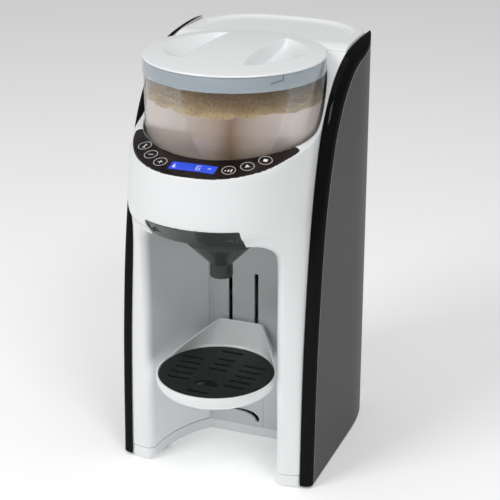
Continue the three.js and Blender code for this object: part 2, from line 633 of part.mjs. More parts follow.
// ---------------------------------------------------------------- powder container
function buildPowderContainer() {
  const tub = turned([
    [12.6, TUB_BOTTOM], [TUB_FOOT_RADIUS, TUB_BOTTOM], [TUB_FOOT_RADIUS, TUB_FOOT_TOP - 1],
    [TUB_RADIUS, TUB_FOOT_TOP + 3], [TUB_RADIUS, 412],
    [TUB_RADIUS - 2, 412], [TUB_RADIUS - 2, TUB_FOOT_TOP + 4],
    [TUB_FOOT_RADIUS - 2, TUB_FOOT_TOP], [TUB_FOOT_RADIUS - 2, TUB_BOTTOM + 2.4], [12.6, TUB_BOTTOM + 2.4],
    [12.6, TUB_BOTTOM],
  ], 44).subtract(disc(11, 310, 330, 16, 0, CHUTE_Y));
  add('powder_container', tub, CLEAR);

  // Collar clipped round the container's mouth, with the bayonet slot's mark.
  let collar = ring(TUB_RADIUS + 0.2, LID_RADIUS - 0.6, COLLAR_BOTTOM, LID_BOTTOM - 0.6, 48);
  for (let i = 0; i < 3; i += 1) {
    const angle = THREE.MathUtils.degToRad(-42 + 120 * i);
    const slot = box(-7, 7, -88, -86.1, 409.6, 411).add(box(5.6, 7, -88, -86.1, 409.6, 418));
    collar = collar.subtract(slot.rotate([0, 0, THREE.MathUtils.radToDeg(angle) + 90]));
  }
  add('container_collar', collar, COLLAR_BLUE);

  const powder = turned([
    [0, 346], [66, 346], [66, 334.4],
    [TUB_FOOT_RADIUS - 2.4, 334.4], [TUB_FOOT_RADIUS - 2.4, TUB_FOOT_TOP + 0.6],
    [TUB_RADIUS - 2.4, TUB_FOOT_TOP + 4.6], [TUB_RADIUS - 2.4, POWDER_TOP - 3],
    [60, POWDER_TOP - 1], [0, POWDER_TOP + 3],
  ], 32);
  add('formula_powder', powder, POWDER);

  // Dosing wheel: pockets carry level scoops of powder round to the outlet.
  let wheel = disc(64, 323, 331, 40);
  wheel = wheel.subtract(turned([[0, 310], [7.4, 310], [7.4, 328], [0, 328]], 6));
  for (let i = 0; i < 8; i += 1) {
    const angle = (Math.PI * (i + 0.5)) / 4;
    const [x, y] = [42 * Math.cos(angle), 42 * Math.sin(angle)];
    wheel = wheel.subtract(disc(10, 320, 340, 10, x, y));
  }
  add('dosing_wheel', wheel, WHITE_GEAR);

  // Stirring arm: sweeps the powder into the pockets.
  let arm = turned([[0, 331.3], [12, 331.3], [9, 341], [0, 343]], 24);
  arm = arm.add(box(-60, 60, -2.2, 2.2, 332, 337));
  arm = arm.add(box(-2.2, 2.2, -34, 34, 332, 339));
  add('stirring_arm', arm, WHITE_GEAR);
}

function buildPowderLid() {
  // Silicone seal carried on an inner plate that stays still while the lid turns.
  add('lid_seal', ring(76, TUB_RADIUS - 2.4, 402, 408, 36), SILICONE);
  let plate = turned([[0, 400.4], [75.6, 400.4], [75.6, 408.4], [83, 408.4], [83, 410.4],
    [73.4, 410.4], [73.4, 402.6],
    [0, 402.6]], 36);
  plate = plate.subtract(disc(5, 395, 405, 12));
  add('lid_inner_plate', plate, WHITE);

  const rimZ = LID_BOTTOM;
  let lid = turned([
    [0, 404], [72.6, 404], [72.6, 413], [LID_RADIUS - 0.6, rimZ], [LID_RADIUS, rimZ + 1],
    [LID_RADIUS - 1.6, rimZ + 2], [50, rimZ + 3.6], [0, rimZ + 4.2],
  ], 60);
  // Two finger scoops leave the grip bar between them.
  for (const side of [-1, 1]) lid = lid.subtract(scoop(side));
  add('powder_lid', lid, WHITE);
}

function scoop(side) {
  const inner = 30;
  const reach = 72;
  const bow = side > 0 ? 8 : 0;
  const shape = new THREE.Shape();
  const start = Math.acos(inner / reach);
  const y1 = reach * Math.sin(start);
  shape.moveTo(side * inner, -y1 * 0.72);
  shape.quadraticCurveTo(side * (inner - 2 * bow), 0, side * inner, y1);
  const steps = 10;
  for (let i = 1; i <= steps; i += 1) {
    const angle = start - ((start + Math.asin((y1 * 0.72) / reach) * 0.86) * i) / steps;
    shape.lineTo(side * reach * Math.cos(angle), reach * Math.sin(angle));
  }
  shape.closePath();
  const pocket = slab(shape, 405, 440, 5);
  const floor = cylinderAlong('y', 77, 200, [side * 34, 0, 486], 56)
    .intersect(box(-90, 90, -90, 90, 400, 450));
  return pocket.intersect(floor.add(slab(shape, LID_BOTTOM + 2, 440, 5)));
}

// ---------------------------------------------------------------- powder drive
function gear(teeth, bore, z0, z1, phase) {
  const pitch = (MODULE * teeth) / 2;
  const [root, tip] = [pitch - 1.25 * MODULE, pitch + 0.9 * MODULE];
  const shape = new THREE.Shape();
  for (let i = 0; i < teeth; i += 1) {
    const centre = (2 * Math.PI * (i + phase)) / teeth;
    const corners = [[root, -0.31], [tip, -0.11], [tip, 0.11], [root, 0.31]];
    corners.forEach(([radius, part], k) => {
      const angle = centre + (part * 2 * Math.PI) / teeth;
      const point = [radius * Math.cos(angle), radius * Math.sin(angle)];
      if (i === 0 && k === 0) shape.moveTo(...point);
      else shape.lineTo(...point);
    });
  }
  shape.closePath();
  if (bore > 0) {
    const hole = new THREE.Path();
    hole.absarc(0, 0, bore, 0, 2 * Math.PI, true);
    shape.holes.push(hole);
  }
  return slab(shape, z0, z1, 6);
}

function buildDrive() {
  // Cradle: the dish in the head that the container stands in.
  let cradle = turned([
    [9.4, 316.8], [86.2, 316.8], [86.2, 337], [83.2, 337], [83.2, 319.7], [9.4, 319.7], [9.4, 316.8],
  ], 36);
  cradle = cradle.subtract(disc(11.4, 300, 330, 16, 0, CHUTE_Y));
  add('container_cradle', cradle, WHITE);

  const gearZ = 303;
  const angle = THREE.MathUtils.degToRad(PINION_BEARING);
  let drive = gear(DRIVE_TEETH, 0, gearZ, gearZ + 6, 0).rotate([0, 0, PINION_BEARING]);
  drive = drive.add(disc(8.6, gearZ + 5, 317.4, 18));
  drive = drive.add(turned([[0, 316], [6.9, 316], [6.9, 326], [5.6, 327.6], [0, 327.6]], 6));
  drive = drive.subtract(disc(3.1, gearZ - 5, gearZ + 10, 16));
  add('drive_gear', drive, WHITE_GEAR);

  const distance = (MODULE * (DRIVE_TEETH + PINION_TEETH)) / 2;
  const [px, py] = [distance * Math.cos(angle), distance * Math.sin(angle)];
  const pinion = gear(PINION_TEETH, 1.9, gearZ, gearZ + 6, 0.5);
  const pinionMesh = add('motor_pinion', pinion, STEEL, machine, [px, py, 0]);
  pinionMesh.rotation.z = angle + Math.PI;

  // Motor with its gearbox, hanging from the drive plate; its shaft carries the pinion.
  let motor = disc(13, 262 + 6, 296, 28, px, py).add(disc(1.6, 295, 308, 12, px, py));
  motor = motor.add(disc(5, 295, 299, 20, px, py));
  add('gear_motor', motor, STEEL);

  // Drive plate under the cradle, with the gear's bearing post and the motor's hole.
  const plateTop = 301.6;
  let plate = slab(roundedRect(-60, 60, -28, 50, 8), plateTop - 2.4, plateTop);
  plate = plate.add(disc(2.8, plateTop - 1, 312, 16));
  plate = plate.subtract(disc(5.6, 290, 310, 20, px, py));
  add('drive_plate', plate, STEEL);

  // Powder chute from the cradle's outlet down to the funnel.
  const chute = turned([[10.4, 274], [12.8, 274], [12.8, 312], [15, 316.4], [11.2, 316.4],
    [10.4, 312], [10.4, 274]],
    20, 0, CHUTE_Y);
  add('powder_chute', chute, DARK_GREY);
}

// ---------------------------------------------------------------- funnel
function buildFunnel() {
  const coneTop = SPOUT_TOP + FUNNEL_RIM - SPOUT_RADIUS;
  const bore = FUNNEL_RIM - 2.4;
  let funnel = turned([
    [SPOUT_RADIUS, SPOUT_BOTTOM], [SPOUT_RADIUS, SPOUT_TOP], [FUNNEL_RIM, coneTop], [FUNNEL_RIM, 270.4],
    [bore, 270.4], [bore, coneTop + 1],
    [SPOUT_RADIUS - 2, SPOUT_TOP + 1], [SPOUT_RADIUS - 2, SPOUT_BOTTOM], [SPOUT_RADIUS, SPOUT_BOTTOM],
  ], 28, 0, FUNNEL_Y);
  const plate = box(-45.4, 45.4, -82, -0.6, 270, 272.4).subtract(disc(bore, 260, 280, 28, 0, FUNNEL_Y));
  const neck = box(-41.4, 41.4, -103, -80, 270, 272.4);
  funnel = funnel.add(plate.add(neck));
  // Front flange: slopes back under the head and follows its curve.
  const chinRing = (z, inset, setBack) => noseRing(FUNNEL_TOP, inset, -40)
    .map(([x, y]) => [x, y + setBack, z]);
  const outer = loft([chinRing(261, 0, 20), chinRing(FUNNEL_TOP, 0, 0.4)]);
  const inner = loft([chinRing(260, 2.6, 21), chinRing(FUNNEL_TOP + 1, 2.6, 0)]);
  const chin = outer.subtract(inner).intersect(box(-FUNNEL_HALF, FUNNEL_HALF, -130, -60, 258, FUNNEL_TOP));
  const web = box(-30, 30, -112, -95, 264, 272.4).subtract(box(-27.6, 27.6, -112, -90, 262, 269.8))
    .intersect(loft([chinRing(260, 1.5, 21), chinRing(FUNNEL_TOP, 1.5, 0)]));
  funnel = funnel.add(chin).add(box(-41, 41, -112, -100, 270, 272.4)
    .intersect(loft([chinRing(260, 1, 21), chinRing(FUNNEL_TOP, 1, 0)]))).add(web);
  add('funnel', funnel, DARK_GREY);
}

// ---------------------------------------------------------------- drip tray
function buildTray() {
  const floor = TRAY_TOP - 15;
  let dish = turned([
    [0, floor], [46, floor], [55, floor + 3.4], [TRAY_RADIUS, floor + 11], [TRAY_RADIUS, TRAY_TOP],
    [TRAY_RADIUS - 2.2, TRAY_TOP], [TRAY_RADIUS - 2.2, floor + 11], [53.4, floor + 5.2], [45.4, floor + 2.4],
    [0, floor + 2.4],
  ], 40, 0, TRAY_Y);
  // Back plate that rises behind the bottle and carries the hooks.
  const plate = new THREE.Shape();
  plate.moveTo(-36, floor + 4);
  plate.lineTo(36, floor + 4);
  plate.lineTo(36, TRAY_TOP);
  plate.quadraticCurveTo(30, TRAY_TOP + 22, 22, TRAY_TOP + 26);
  plate.lineTo(-22, TRAY_TOP + 26);
  plate.quadraticCurveTo(-30, TRAY_TOP + 22, -36, TRAY_TOP);
  plate.closePath();
  dish = dish.add(prismY(plate, 14, 17.4, 6));
  dish = dish.add(box(-30, 30, -2, 15, floor + 4, floor + 6.4)
    .subtract(disc(TRAY_RADIUS - 1.4, 80, 120, 40, 0, TRAY_Y)));
  for (const x of [-30, 30]) {
    dish = dish.add(box(x - 1.2, x + 1.2, -2, 15, floor + 5, TRAY_TOP)
      .subtract(disc(TRAY_RADIUS - 1.4, 80, 120, 40, 0, TRAY_Y)));
  }
  for (const x of [-14, 14]) {
    dish = dish.add(box(x - 1.8, x + 1.8, 17, 26, TRAY_TOP + 8, TRAY_TOP + 14));
    dish = dish.add(box(x - 1.8, x + 1.8, 24.8, 27.4, TRAY_TOP + 2, TRAY_TOP + 14));
  }
  add('drip_tray', dish, WHITE);

  let grate = disc(TRAY_RADIUS - 2.8, TRAY_TOP - 3, TRAY_TOP - 0.4, 40, 0, TRAY_Y);
  const slot = (x, y, length) => slab(
    chamferedRect(x - length / 2, x + length / 2, y - 1.7, y + 1.7, 1.1), 80, 120);
  for (const side of [-1, 1]) {
    for (let i = 0; i < 5; i += 1) {
      const y = TRAY_Y - 25 + i * 11.5;
      grate = grate.subtract(slot(side * (29.5 + 0.8 * i), y, 23));
    }
  }
  grate = grate.subtract(slot(0, TRAY_Y - 46, 23)).subtract(slot(0, TRAY_Y + 44, 23));
  for (let i = 0; i < 3; i += 1) grate = grate.subtract(slot(0, TRAY_Y + 4 + i * 11.5, 18));
  // Finger hole for lifting the grate out.
  grate = grate.subtract(slab(roundedRect(-11, 11, TRAY_Y - 27, TRAY_Y - 17, 4.8), 80, 120, 3));
  for (let i = 0; i < 3; i += 1) {
    const angle = (2 * Math.PI * i) / 3 + Math.PI / 2;
    grate = grate.add(
      disc(2, floor + 2.8, TRAY_TOP - 2.8, 12, 40 * Math.cos(angle), TRAY_Y + 40 * Math.sin(angle)));
  }
  add('drip_grate', grate, GRATE_BLACK);
}

// ---------------------------------------------------------------- controls
const BUTTON_RADIUS = 6.4;
const BUTTONS = [
  ['volume_up_button', -33.4, -98.4],
  ['volume_down_button', -47.4, -88.2],
  ['temperature_button', -59.6, -74.8],
  ['powder_setting_button', 33.4, -98.4], ['start_button', 47.4, -88.2], ['stop_button', 59.6, -74.8],
];
const LCD_Y = -101.3;
const LCD_HALF = 5.8;

function buildControls() {
  let panel = crescent(0).intersect(aboveTop(-2.2)).subtract(aboveTop(0.3));
  for (const [, x, y] of BUTTONS) panel = panel.subtract(disc(BUTTON_RADIUS + 0.35, 300, 400, 20, x, y));
  panel = panel.subtract(box(-22.3, 22.3, LCD_Y - LCD_HALF - 0.3, LCD_Y + LCD_HALF + 0.3, 300, 400));
  add('control_panel', panel, PANEL_BLACK);

  const layer = (lift, thickness) => aboveTop(lift - thickness).subtract(aboveTop(lift));
  for (const [name, x, y] of BUTTONS) {
    const cap = disc(BUTTON_RADIUS, 300, 400, 20, x, y).intersect(layer(0.5, 2.4));
    const stem = disc(1.6, 324.8, topHeight(x, y) - 1.2, 8, x, y);
    add(name, cap.add(stem), PANEL_BLACK);
  }
  const lcd = box(-22, 22, LCD_Y - LCD_HALF, LCD_Y + LCD_HALF, 300, 400).intersect(layer(0.1, 3.4));
  add('display_module', lcd, LCD_BLUE);

  // Control board: a curved strip under the panel.
  const board = new THREE.Shape();
  board.absarc(0, 0, 104, -2.28, -0.86, false);
  board.absarc(0, 0, 91.5, -0.86, -2.28, true);
  board.closePath();
  add('control_board', slab(board, 321.6, 323.2, 14), BOARD_GREEN);
}

// ---------------------------------------------------------------- water system and electrics
function buildInternals() {
  // Frame that ties the base, the bay's back wall and the tank seat together.
  let frame = box(-56, 56, 28, 30.6, BODY_BOTTOM + 0.4, 260);
  frame = frame.add(box(-56, 56, 28, 92, BODY_BOTTOM + 0.4, BODY_BOTTOM + 3.4));
  frame = frame.add(box(-56, 56, 28, 88, 118, 121));
  for (const x of [-55, 55]) frame = frame.add(box(x - 1.4, x + 1.4, 28, 88, BODY_BOTTOM + 0.4, 121));
  for (const x of [-14, 14]) frame = frame.subtract(box(x - 6, x + 6, 20, 34, 19, 190));
  for (const x of [-50, 50]) frame = frame.subtract(disc(2, 0, 30, 12, x, 60));
  add('inner_frame', frame, ALUMINIUM);

  // Heater: cast block with its water passage stubs.
  let heater = prismY(roundedRect(-26, 26, 124, 158, 8), 40, 80, 6)
    .add(cylinderAlong('z', 3, 10, [-20, 50, 160]));
  heater = heater.add(cylinderAlong('y', 3, 12, [0, 85, 141]));
  add('water_heater', heater, ALUMINIUM);

  let pump = cylinderAlong('x', 14, 40, [-18, 58, 38], 24).add(box(2, 20, 44, 72, 24, 52));
  pump = pump.add(cylinderAlong('z', 3, 12, [11, 58, 57]));
  pump = pump.add(cylinderAlong('y', 3, 12, [11, 77, 38]));
  add('water_pump', pump, DARK_GREY);

  add('tank_hose', pipe([[11, 83.6, 38], [11, 96, 39], [8, 116, 56],
    [2, 131, 100], [0, 132, 150], [0, 132, 195]],
    4, 20), SILICONE);
  add('pump_hose', pipe([[11, 58, 63.6], [12, 60, 84], [16, 82, 104],
    [8, 100, 126], [0, 98, 141], [0, 91.6, 141]],
    4, 18), SILICONE);
  add('heater_hose', pipe([[-20, 50, 165.4], [-20, 50, 235], [-18, 41, 270], [-10, 8, 290],
    [-1, -14, 294], [0, -18, 291.6], [0, -18, 287.6]],
    3, 22), SILICONE);
  const nozzle = turned([[1.6, 274], [3.4, 274], [5.8, 279], [5.8, 284], [3, 287],
    [1.6, 287], [1.6, 274]], 16, 0, -18);
  add('water_nozzle', nozzle, SILICONE);

  let power = box(-52, -4, 100, 102, 20, 90);
  power = power.add(box(-46, -26, 101, 122, 30, 56)).add(box(-20, -10, 101, 116, 60, 82));
  power = power.add(cylinderAlong('y', 6, 20, [-38, 111, 74], 16));
  add('power_board', power, BOARD_GREEN);
}

buildBase();
buildFrontShell();
buildBayLiner();
buildFunnelGuide();
buildSides();
buildBack();
buildTank();
buildTankLid();
buildPowderContainer();
buildPowderLid();
buildDrive();
buildFunnel();
buildTray();
buildControls();
buildInternals();

// Footprint centre at the origin.
machine.position.set(0, -(FRONT_Y + REAR_Y) / 2, 0);
const group = new THREE.Group();
group.add(machine);

export default group;
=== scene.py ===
"""Formula dispenser: the looks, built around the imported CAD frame.

Shapes are worked out in millimetres from the powder container's axis (x = 0, y = 0) and the counter
(z = 0), the front facing -Y, and are turned into the frame's metres when each mesh is made."""

import math

import bpy
import numpy as np
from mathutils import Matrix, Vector


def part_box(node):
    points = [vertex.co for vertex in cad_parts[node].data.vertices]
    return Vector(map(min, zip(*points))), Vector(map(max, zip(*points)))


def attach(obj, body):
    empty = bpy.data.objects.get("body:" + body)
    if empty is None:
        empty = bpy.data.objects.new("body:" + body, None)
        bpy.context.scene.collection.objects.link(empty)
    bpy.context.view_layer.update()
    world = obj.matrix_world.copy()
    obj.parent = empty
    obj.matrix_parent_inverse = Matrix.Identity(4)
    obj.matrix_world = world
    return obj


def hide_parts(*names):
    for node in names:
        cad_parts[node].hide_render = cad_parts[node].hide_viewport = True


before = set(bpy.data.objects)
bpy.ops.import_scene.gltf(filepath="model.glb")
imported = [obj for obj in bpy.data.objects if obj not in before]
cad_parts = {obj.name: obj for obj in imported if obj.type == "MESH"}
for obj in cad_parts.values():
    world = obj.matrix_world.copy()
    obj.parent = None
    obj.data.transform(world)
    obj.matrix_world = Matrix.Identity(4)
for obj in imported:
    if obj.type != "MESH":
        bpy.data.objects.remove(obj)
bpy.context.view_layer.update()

# ------------------------------------------------------------------ driving dimensions (mm)
MM = 0.001
cradle_low, cradle_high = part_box("container_cradle")
AXIS_Y = (cradle_low.y + cradle_high.y) / 2  # the powder container's axis in the frame, in metres
HALF_WIDTH = 102.0
CORE_HALF = 89.6
REAR_Y = 178.0
REAR_START = 60.0
REAR_ROUNDNESS = 2.9
BASE_BOTTOM = 2.0
BASE_TOP = 13.6
BODY_BOTTOM = 14.0
BAY_HALF = 65.5
BAY_BACK_HALF = 37.0
BAY_BACK_Y = 22.0
BAY_TOP = 262.0
BAY_CORNER = 20.0
BAY_WALL = 2.4
FUNNEL_HALF = 46.0
FUNNEL_TOP = 282.0
FUNNEL_Y = -36.0
FUNNEL_RIM = 35.0
CHUTE_Y = -42.0
SPOUT_RADIUS = 11.2
SPOUT_BOTTOM = 206.0
SPOUT_TOP = 220.0
LID_RADIUS = 87.0
LID_BOTTOM = 417.0
COLLAR_BOTTOM = 402.5
TUB_RADIUS = 85.6
TUB_FOOT_RADIUS = 82.5
TUB_FOOT_TOP = 338.0
TUB_BOTTOM = 320.0
HEAD_OPENING = 86.8
POWDER_TOP = 376.0
TRAY_Y = -51.0
TRAY_RADIUS = 59.5
TRAY_TOP = 109.5
DECK_TOP = 416.0
TANK_BOTTOM = 229.0
TANK_TOP = 408.0
TANK_FRONT_Y = 95.0
HINGE_Y = 174.8
HINGE_Z = 409.0
BUTTON_RADIUS = 6.4
BUTTONS = {
    "volume_up_button": (-33.4, -98.4),
    "volume_down_button": (-47.4, -88.2),
    "temperature_button": (-59.6, -74.8),
    "powder_setting_button": (33.4, -98.4),
    "start_button": (47.4, -88.2),
    "stop_button": (59.6, -74.8),
}
LCD_Y = -101.3
LCD_HALF_WIDTH = 22.0
LCD_HALF_DEPTH = 5.8
PANEL_LOW, PANEL_HIGH = 300.0, 400.0  # columns that are trimmed to the head's top surface
PANEL_HALF_WIDTH = 86.4
PANEL_DEPTH = 116.2
PANEL_INNER = 88.0
PANEL_TIP = (77.9, -47.2)
PANEL_TIP_RADIUS = 3.6


# ------------------------------------------------------------------ materials
def srgb(r, g, b):
    """Linear colour from 0-255 sRGB values."""
    return tuple(
        (c / 255 / 12.92) if c <= 10 else ((c / 255 + 0.055) / 1.055) ** 2.4 for c in (r, g, b)
    ) + (1.0,)


def new_material(name):
    material = bpy.data.materials.new(name)
    material.use_nodes = True
    nodes, links = material.node_tree.nodes, material.node_tree.links
    return material, nodes, links, nodes["Principled BSDF"]


def noise(nodes, scale, detail=3.0, roughness=0.5):
    texture = nodes.new("ShaderNodeTexNoise")
    texture.inputs["Scale"].default_value = scale
    texture.inputs["Detail"].default_value = detail
    texture.inputs["Roughness"].default_value = roughness
    return texture


def object_space(nodes, links, *textures):
    coordinates = nodes.new("ShaderNodeTexCoord")
    for texture in textures:
        links.new(coordinates.outputs["Object"], texture.inputs["Vector"])


def ramp(nodes, stops):
    node = nodes.new("ShaderNodeValToRGB")
    elements = node.color_ramp.elements
    while len(elements) < len(stops):
        elements.new(0.5)
    for element, (position, color) in zip(elements, stops):
        element.position = position
        element.color = color
    return node


def vary(nodes, links, factor, low, high, socket):
    """Drives a shader input between two values with a texture."""
    span = nodes.new("ShaderNodeMapRange")
    span.inputs["To Min"].default_value = low
    span.inputs["To Max"].default_value = high
    links.new(factor, span.inputs["Value"])
    links.new(span.outputs["Result"], socket)


def tone(nodes, links, factor, stops, socket):
    """Colours a shader input with a ramp driven by a texture."""
    shade = ramp(nodes, stops)
    links.new(factor, shade.inputs["Fac"])
    links.new(shade.outputs["Color"], socket)


def emboss(nodes, links, height, strength, distance, shader):
    bump = nodes.new("ShaderNodeBump")
    bump.inputs["Strength"].default_value = strength
    bump.inputs["Distance"].default_value = distance
    links.new(height, bump.inputs["Height"])
    links.new(bump.outputs["Normal"], shader.inputs["Normal"])


def scaled(color, factor):
    return tuple(c * factor for c in color[:3]) + (1.0,)


def plastic(
    name, color, roughness, spread=0.04, tint=0.03, grain=900.0, grain_depth=0.02, coat=0.0, specular=0.5
):
    """Moulded plastic: faint mottling of colour and gloss over a fine moulded grain."""
    material, nodes, links, shader = new_material(name)
    cloud, fine = noise(nodes, 14.0, 4.0), noise(nodes, grain, 2.0)
    object_space(nodes, links, cloud, fine)
    patches = cloud.outputs["Fac"]
    tone(
        nodes, links, patches, [(0.35, scaled(color, 1 - tint)), (0.65, color)],
        shader.inputs["Base Color"]
    )
    vary(
        nodes, links, patches, roughness - spread / 2, roughness + spread / 2, shader.inputs["Roughness"]
    )
    emboss(nodes, links, fine.outputs["Fac"], grain_depth, 0.0003, shader)
    shader.inputs["Coat Weight"].default_value = coat
    shader.inputs["Coat Roughness"].default_value = 0.03
    shader.inputs["Specular IOR Level"].default_value = specular
    return material


def clear_plastic(name, color, roughness, transmission=1.0, ior=1.45, alpha=1.0):
    """Transparent moulding with faint flow marks in its gloss."""
    material, nodes, links, shader = new_material(name)
    flow = noise(nodes, 22.0, 3.0)
    object_space(nodes, links, flow)
    vary(nodes, links, flow.outputs["Fac"], roughness * 0.8, roughness * 1.3, shader.inputs["Roughness"])
    shader.inputs["Base Color"].default_value = color
    shader.inputs["Transmission Weight"].default_value = transmission
    shader.inputs["IOR"].default_value = ior
    shader.inputs["Alpha"].default_value = alpha
    return material


def metal(name, color, roughness):
    material, nodes, links, shader = new_material(name)
    brushed = noise(nodes, 60.0, 6.0, 0.7)
    object_space(nodes, links, brushed)
    lines = brushed.outputs["Fac"]
    vary(nodes, links, lines, roughness * 0.7, roughness * 1.4, shader.inputs["Roughness"])
    tone(nodes, links, lines, [(0.3, scaled(color, 0.86)), (0.7, color)], shader.inputs["Base Color"])
    shader.inputs["Metallic"].default_value = 1.0
    return material


def powder_material():
    """Milk powder: warm crumbs with patches of random tone, and painted shade darkening the hollows between
    them.
    """
    material, nodes, links, shader = new_material("milk_powder")
    crumbs, patches = noise(nodes, 420.0, 6.0, 0.7), noise(nodes, 38.0, 4.0)
    object_space(nodes, links, crumbs, patches)
    hollow_shade_and_patches = nodes.new("ShaderNodeMath")
    hollow_shade_and_patches.operation = "ADD"
    half = nodes.new("ShaderNodeMath")
    half.operation = "MULTIPLY"
    half.inputs[1].default_value = 0.45
    links.new(patches.outputs["Fac"], half.inputs[0])
    links.new(crumbs.outputs["Fac"], hollow_shade_and_patches.inputs[0])
    links.new(half.outputs["Value"], hollow_shade_and_patches.inputs[1])
    # The darkest brown stop lands in the hollows between crumbs: painted shade. The patches add random tone.
    stops = [(0.5, srgb(132, 94, 46)), (0.66, srgb(204, 168, 114)), (0.86, srgb(248, 226, 184))]
    tone(nodes, links, hollow_shade_and_patches.outputs["Value"], stops, shader.inputs["Base Color"])
    shader.inputs["Roughness"].default_value = 0.95
    emboss(nodes, links, crumbs.outputs["Fac"], 0.7, 0.0012, shader)
    return material


def pressed_powder_material():
    """The same powder where the wall presses it smooth."""
    material, nodes, links, shader = new_material("pressed_powder")
    grains, patches = noise(nodes, 700.0, 4.0), noise(nodes, 16.0, 3.0)
    object_space(nodes, links, grains, patches)
    # Painted shade: a soft browner band down the front of the powder, on the line facing the camera, and down
    # the back opposite.
    place = nodes.new("ShaderNodeTexCoord")
    across = nodes.new("ShaderNodeVectorMath")
    across.operation = "DOT_PRODUCT"
    across.inputs[1].default_value = (0.93, 0.36, 0.0)
    links.new(place.outputs["Object"], across.inputs[0])
    painted_shade_band = nodes.new("ShaderNodeMath")
    painted_shade_band.operation = "MULTIPLY_ADD"
    painted_shade_band.inputs[1].default_value = 0.02
    links.new(patches.outputs["Fac"], painted_shade_band.inputs[0])
    links.new(across.outputs["Value"], painted_shade_band.inputs[2])
    spread = nodes.new("ShaderNodeMapRange")
    spread.inputs["From Min"].default_value = -0.085
    spread.inputs["From Max"].default_value = 0.085
    links.new(painted_shade_band.outputs["Value"], spread.inputs["Value"])
    stops = [
        (0.12, srgb(226, 214, 204)),
        (0.38, srgb(196, 178, 162)),
        (0.48, srgb(150, 122, 96)),
        (0.58, srgb(200, 182, 168)),
        (0.8, srgb(240, 228, 222)),
    ]
    tone(nodes, links, spread.outputs["Result"], stops, shader.inputs["Base Color"])
    shader.inputs["Roughness"].default_value = 0.7
    emboss(nodes, links, grains.outputs["Fac"], 0.15, 0.0004, shader)
    return material


def glowing(name, color, strength, roughness=0.15):
    """A backlit surface, a little uneven as a light guide is."""
    material, nodes, links, shader = new_material(name)
    glow = noise(nodes, 60.0, 2.0)
    object_space(nodes, links, glow)
    stops = [(0.3, scaled(color, 0.75)), (0.7, color)]
    tone(nodes, links, glow.outputs["Fac"], stops, shader.inputs["Emission Color"])
    shader.inputs["Base Color"].default_value = (0.01, 0.01, 0.02, 1.0)
    shader.inputs["Emission Strength"].default_value = strength
    shader.inputs["Roughness"].default_value = roughness
    return material


WHITE = plastic("gloss_white", srgb(240, 242, 243), 0.24, tint=0.012)
# Painted shade: the shell's white plastic made a shade darker for the bay's back wall, standing in for the
# shade inside the bay.
BAY_PAINTED_SHADE_WHITE = plastic("bay_white_painted_shade", srgb(212, 215, 217), 0.34, tint=0.015)
LINER = plastic("satin_white", srgb(232, 235, 237), 0.34, tint=0.015)
CHARCOAL = plastic(
    "satin_charcoal", srgb(58, 58, 58), 0.42, grain=1400.0, grain_depth=0.08, tint=0.06, specular=0.2
)
GLOSS_BLACK = plastic("gloss_black", srgb(17, 17, 17), 0.1, spread=0.02, coat=0.14, specular=0.0)
PANEL_BLACK = plastic("panel_black", srgb(24, 14, 13), 0.06, spread=0.02, coat=0.15, specular=0.2)
CLEAR = clear_plastic("clear_tub", (0.985, 0.985, 0.985, 1.0), 0.02, alpha=0.5)
COLLAR = clear_plastic("frosted_collar", srgb(214, 226, 234), 0.18, transmission=0.55)
SMOKE = clear_plastic("smoke_tank", srgb(96, 100, 104), 0.05, transmission=0.85)
FUNNEL_GREY = plastic("funnel_grey", srgb(58, 61, 60), 0.25, spread=0.05, specular=0.3)
GRATE = plastic("grate_black", srgb(32, 35, 35), 0.45, grain=1800.0, grain_depth=0.06, specular=0.15)
RUBBER = plastic("foot_rubber", srgb(26, 26, 26), 0.85, grain=2200.0, grain_depth=0.2)
SILICONE = plastic("silicone", srgb(226, 230, 230), 0.5)
GEAR = plastic("gear_acetal", srgb(238, 234, 222), 0.4)
BOARD = plastic("board_green", srgb(24, 92, 52), 0.4, tint=0.2)
STEEL = metal("plain_steel", (0.56, 0.57, 0.58, 1.0), 0.3)
ALUMINIUM = metal("cast_aluminium", (0.6, 0.61, 0.62, 1.0), 0.42)
POWDER = powder_material()
PRESSED_POWDER = pressed_powder_material()
LCD = glowing("lcd_blue", (0.008, 0.075, 0.85, 1.0), 1.0)
LCD_MARK = glowing("lcd_cyan", (0.03, 0.42, 1.0, 1.0), 1.05)
PRINT_GREY = plastic("print_grey", srgb(138, 132, 126), 0.4, specular=0.2)
PRINT_GREEN = plastic("print_green", srgb(104, 116, 74), 0.4, specular=0.2)
PRINT_RED = plastic("print_red", srgb(140, 50, 60), 0.4, specular=0.2)
SEAM_GREY = plastic("seam_grey", srgb(110, 112, 114), 0.6)


# ------------------------------------------------------------------ mesh helpers
def make(name, points, faces, material):
    placed = np.asarray(points, float) * MM
    placed[:, 1] += AXIS_Y
    mesh = bpy.data.meshes.new(name)
    mesh.from_pydata(placed.tolist(), [], [tuple(int(i) for i in face) for face in faces])
    mesh.materials.append(material)
    piece = bpy.data.objects.new(name, mesh)
    bpy.context.scene.collection.objects.link(piece)
    return piece


def bake(piece):
    """Turns the modifiers into the mesh itself."""
    depsgraph = bpy.context.evaluated_depsgraph_get()
    mesh = bpy.data.meshes.new_from_object(piece.evaluated_get(depsgraph))
    old = piece.data
    piece.modifiers.clear()
    piece.data = mesh
    bpy.data.meshes.remove(old)
    return piece


def combine(piece, other, operation):
    modifier = piece.modifiers.new("boolean", "BOOLEAN")
    modifier.operation = operation
    modifier.solver = "MANIFOLD"
    modifier.object = other
    bake(piece)
    bpy.data.objects.remove(other)
    return piece


def cut(piece, *tools):
    for tool in tools:
        combine(piece, tool, "DIFFERENCE")
    return piece


def join(piece, *others):
    for other in others:
        combine(piece, other, "UNION")
    return piece


def keep(piece, region):
    return combine(piece, region, "INTERSECT")


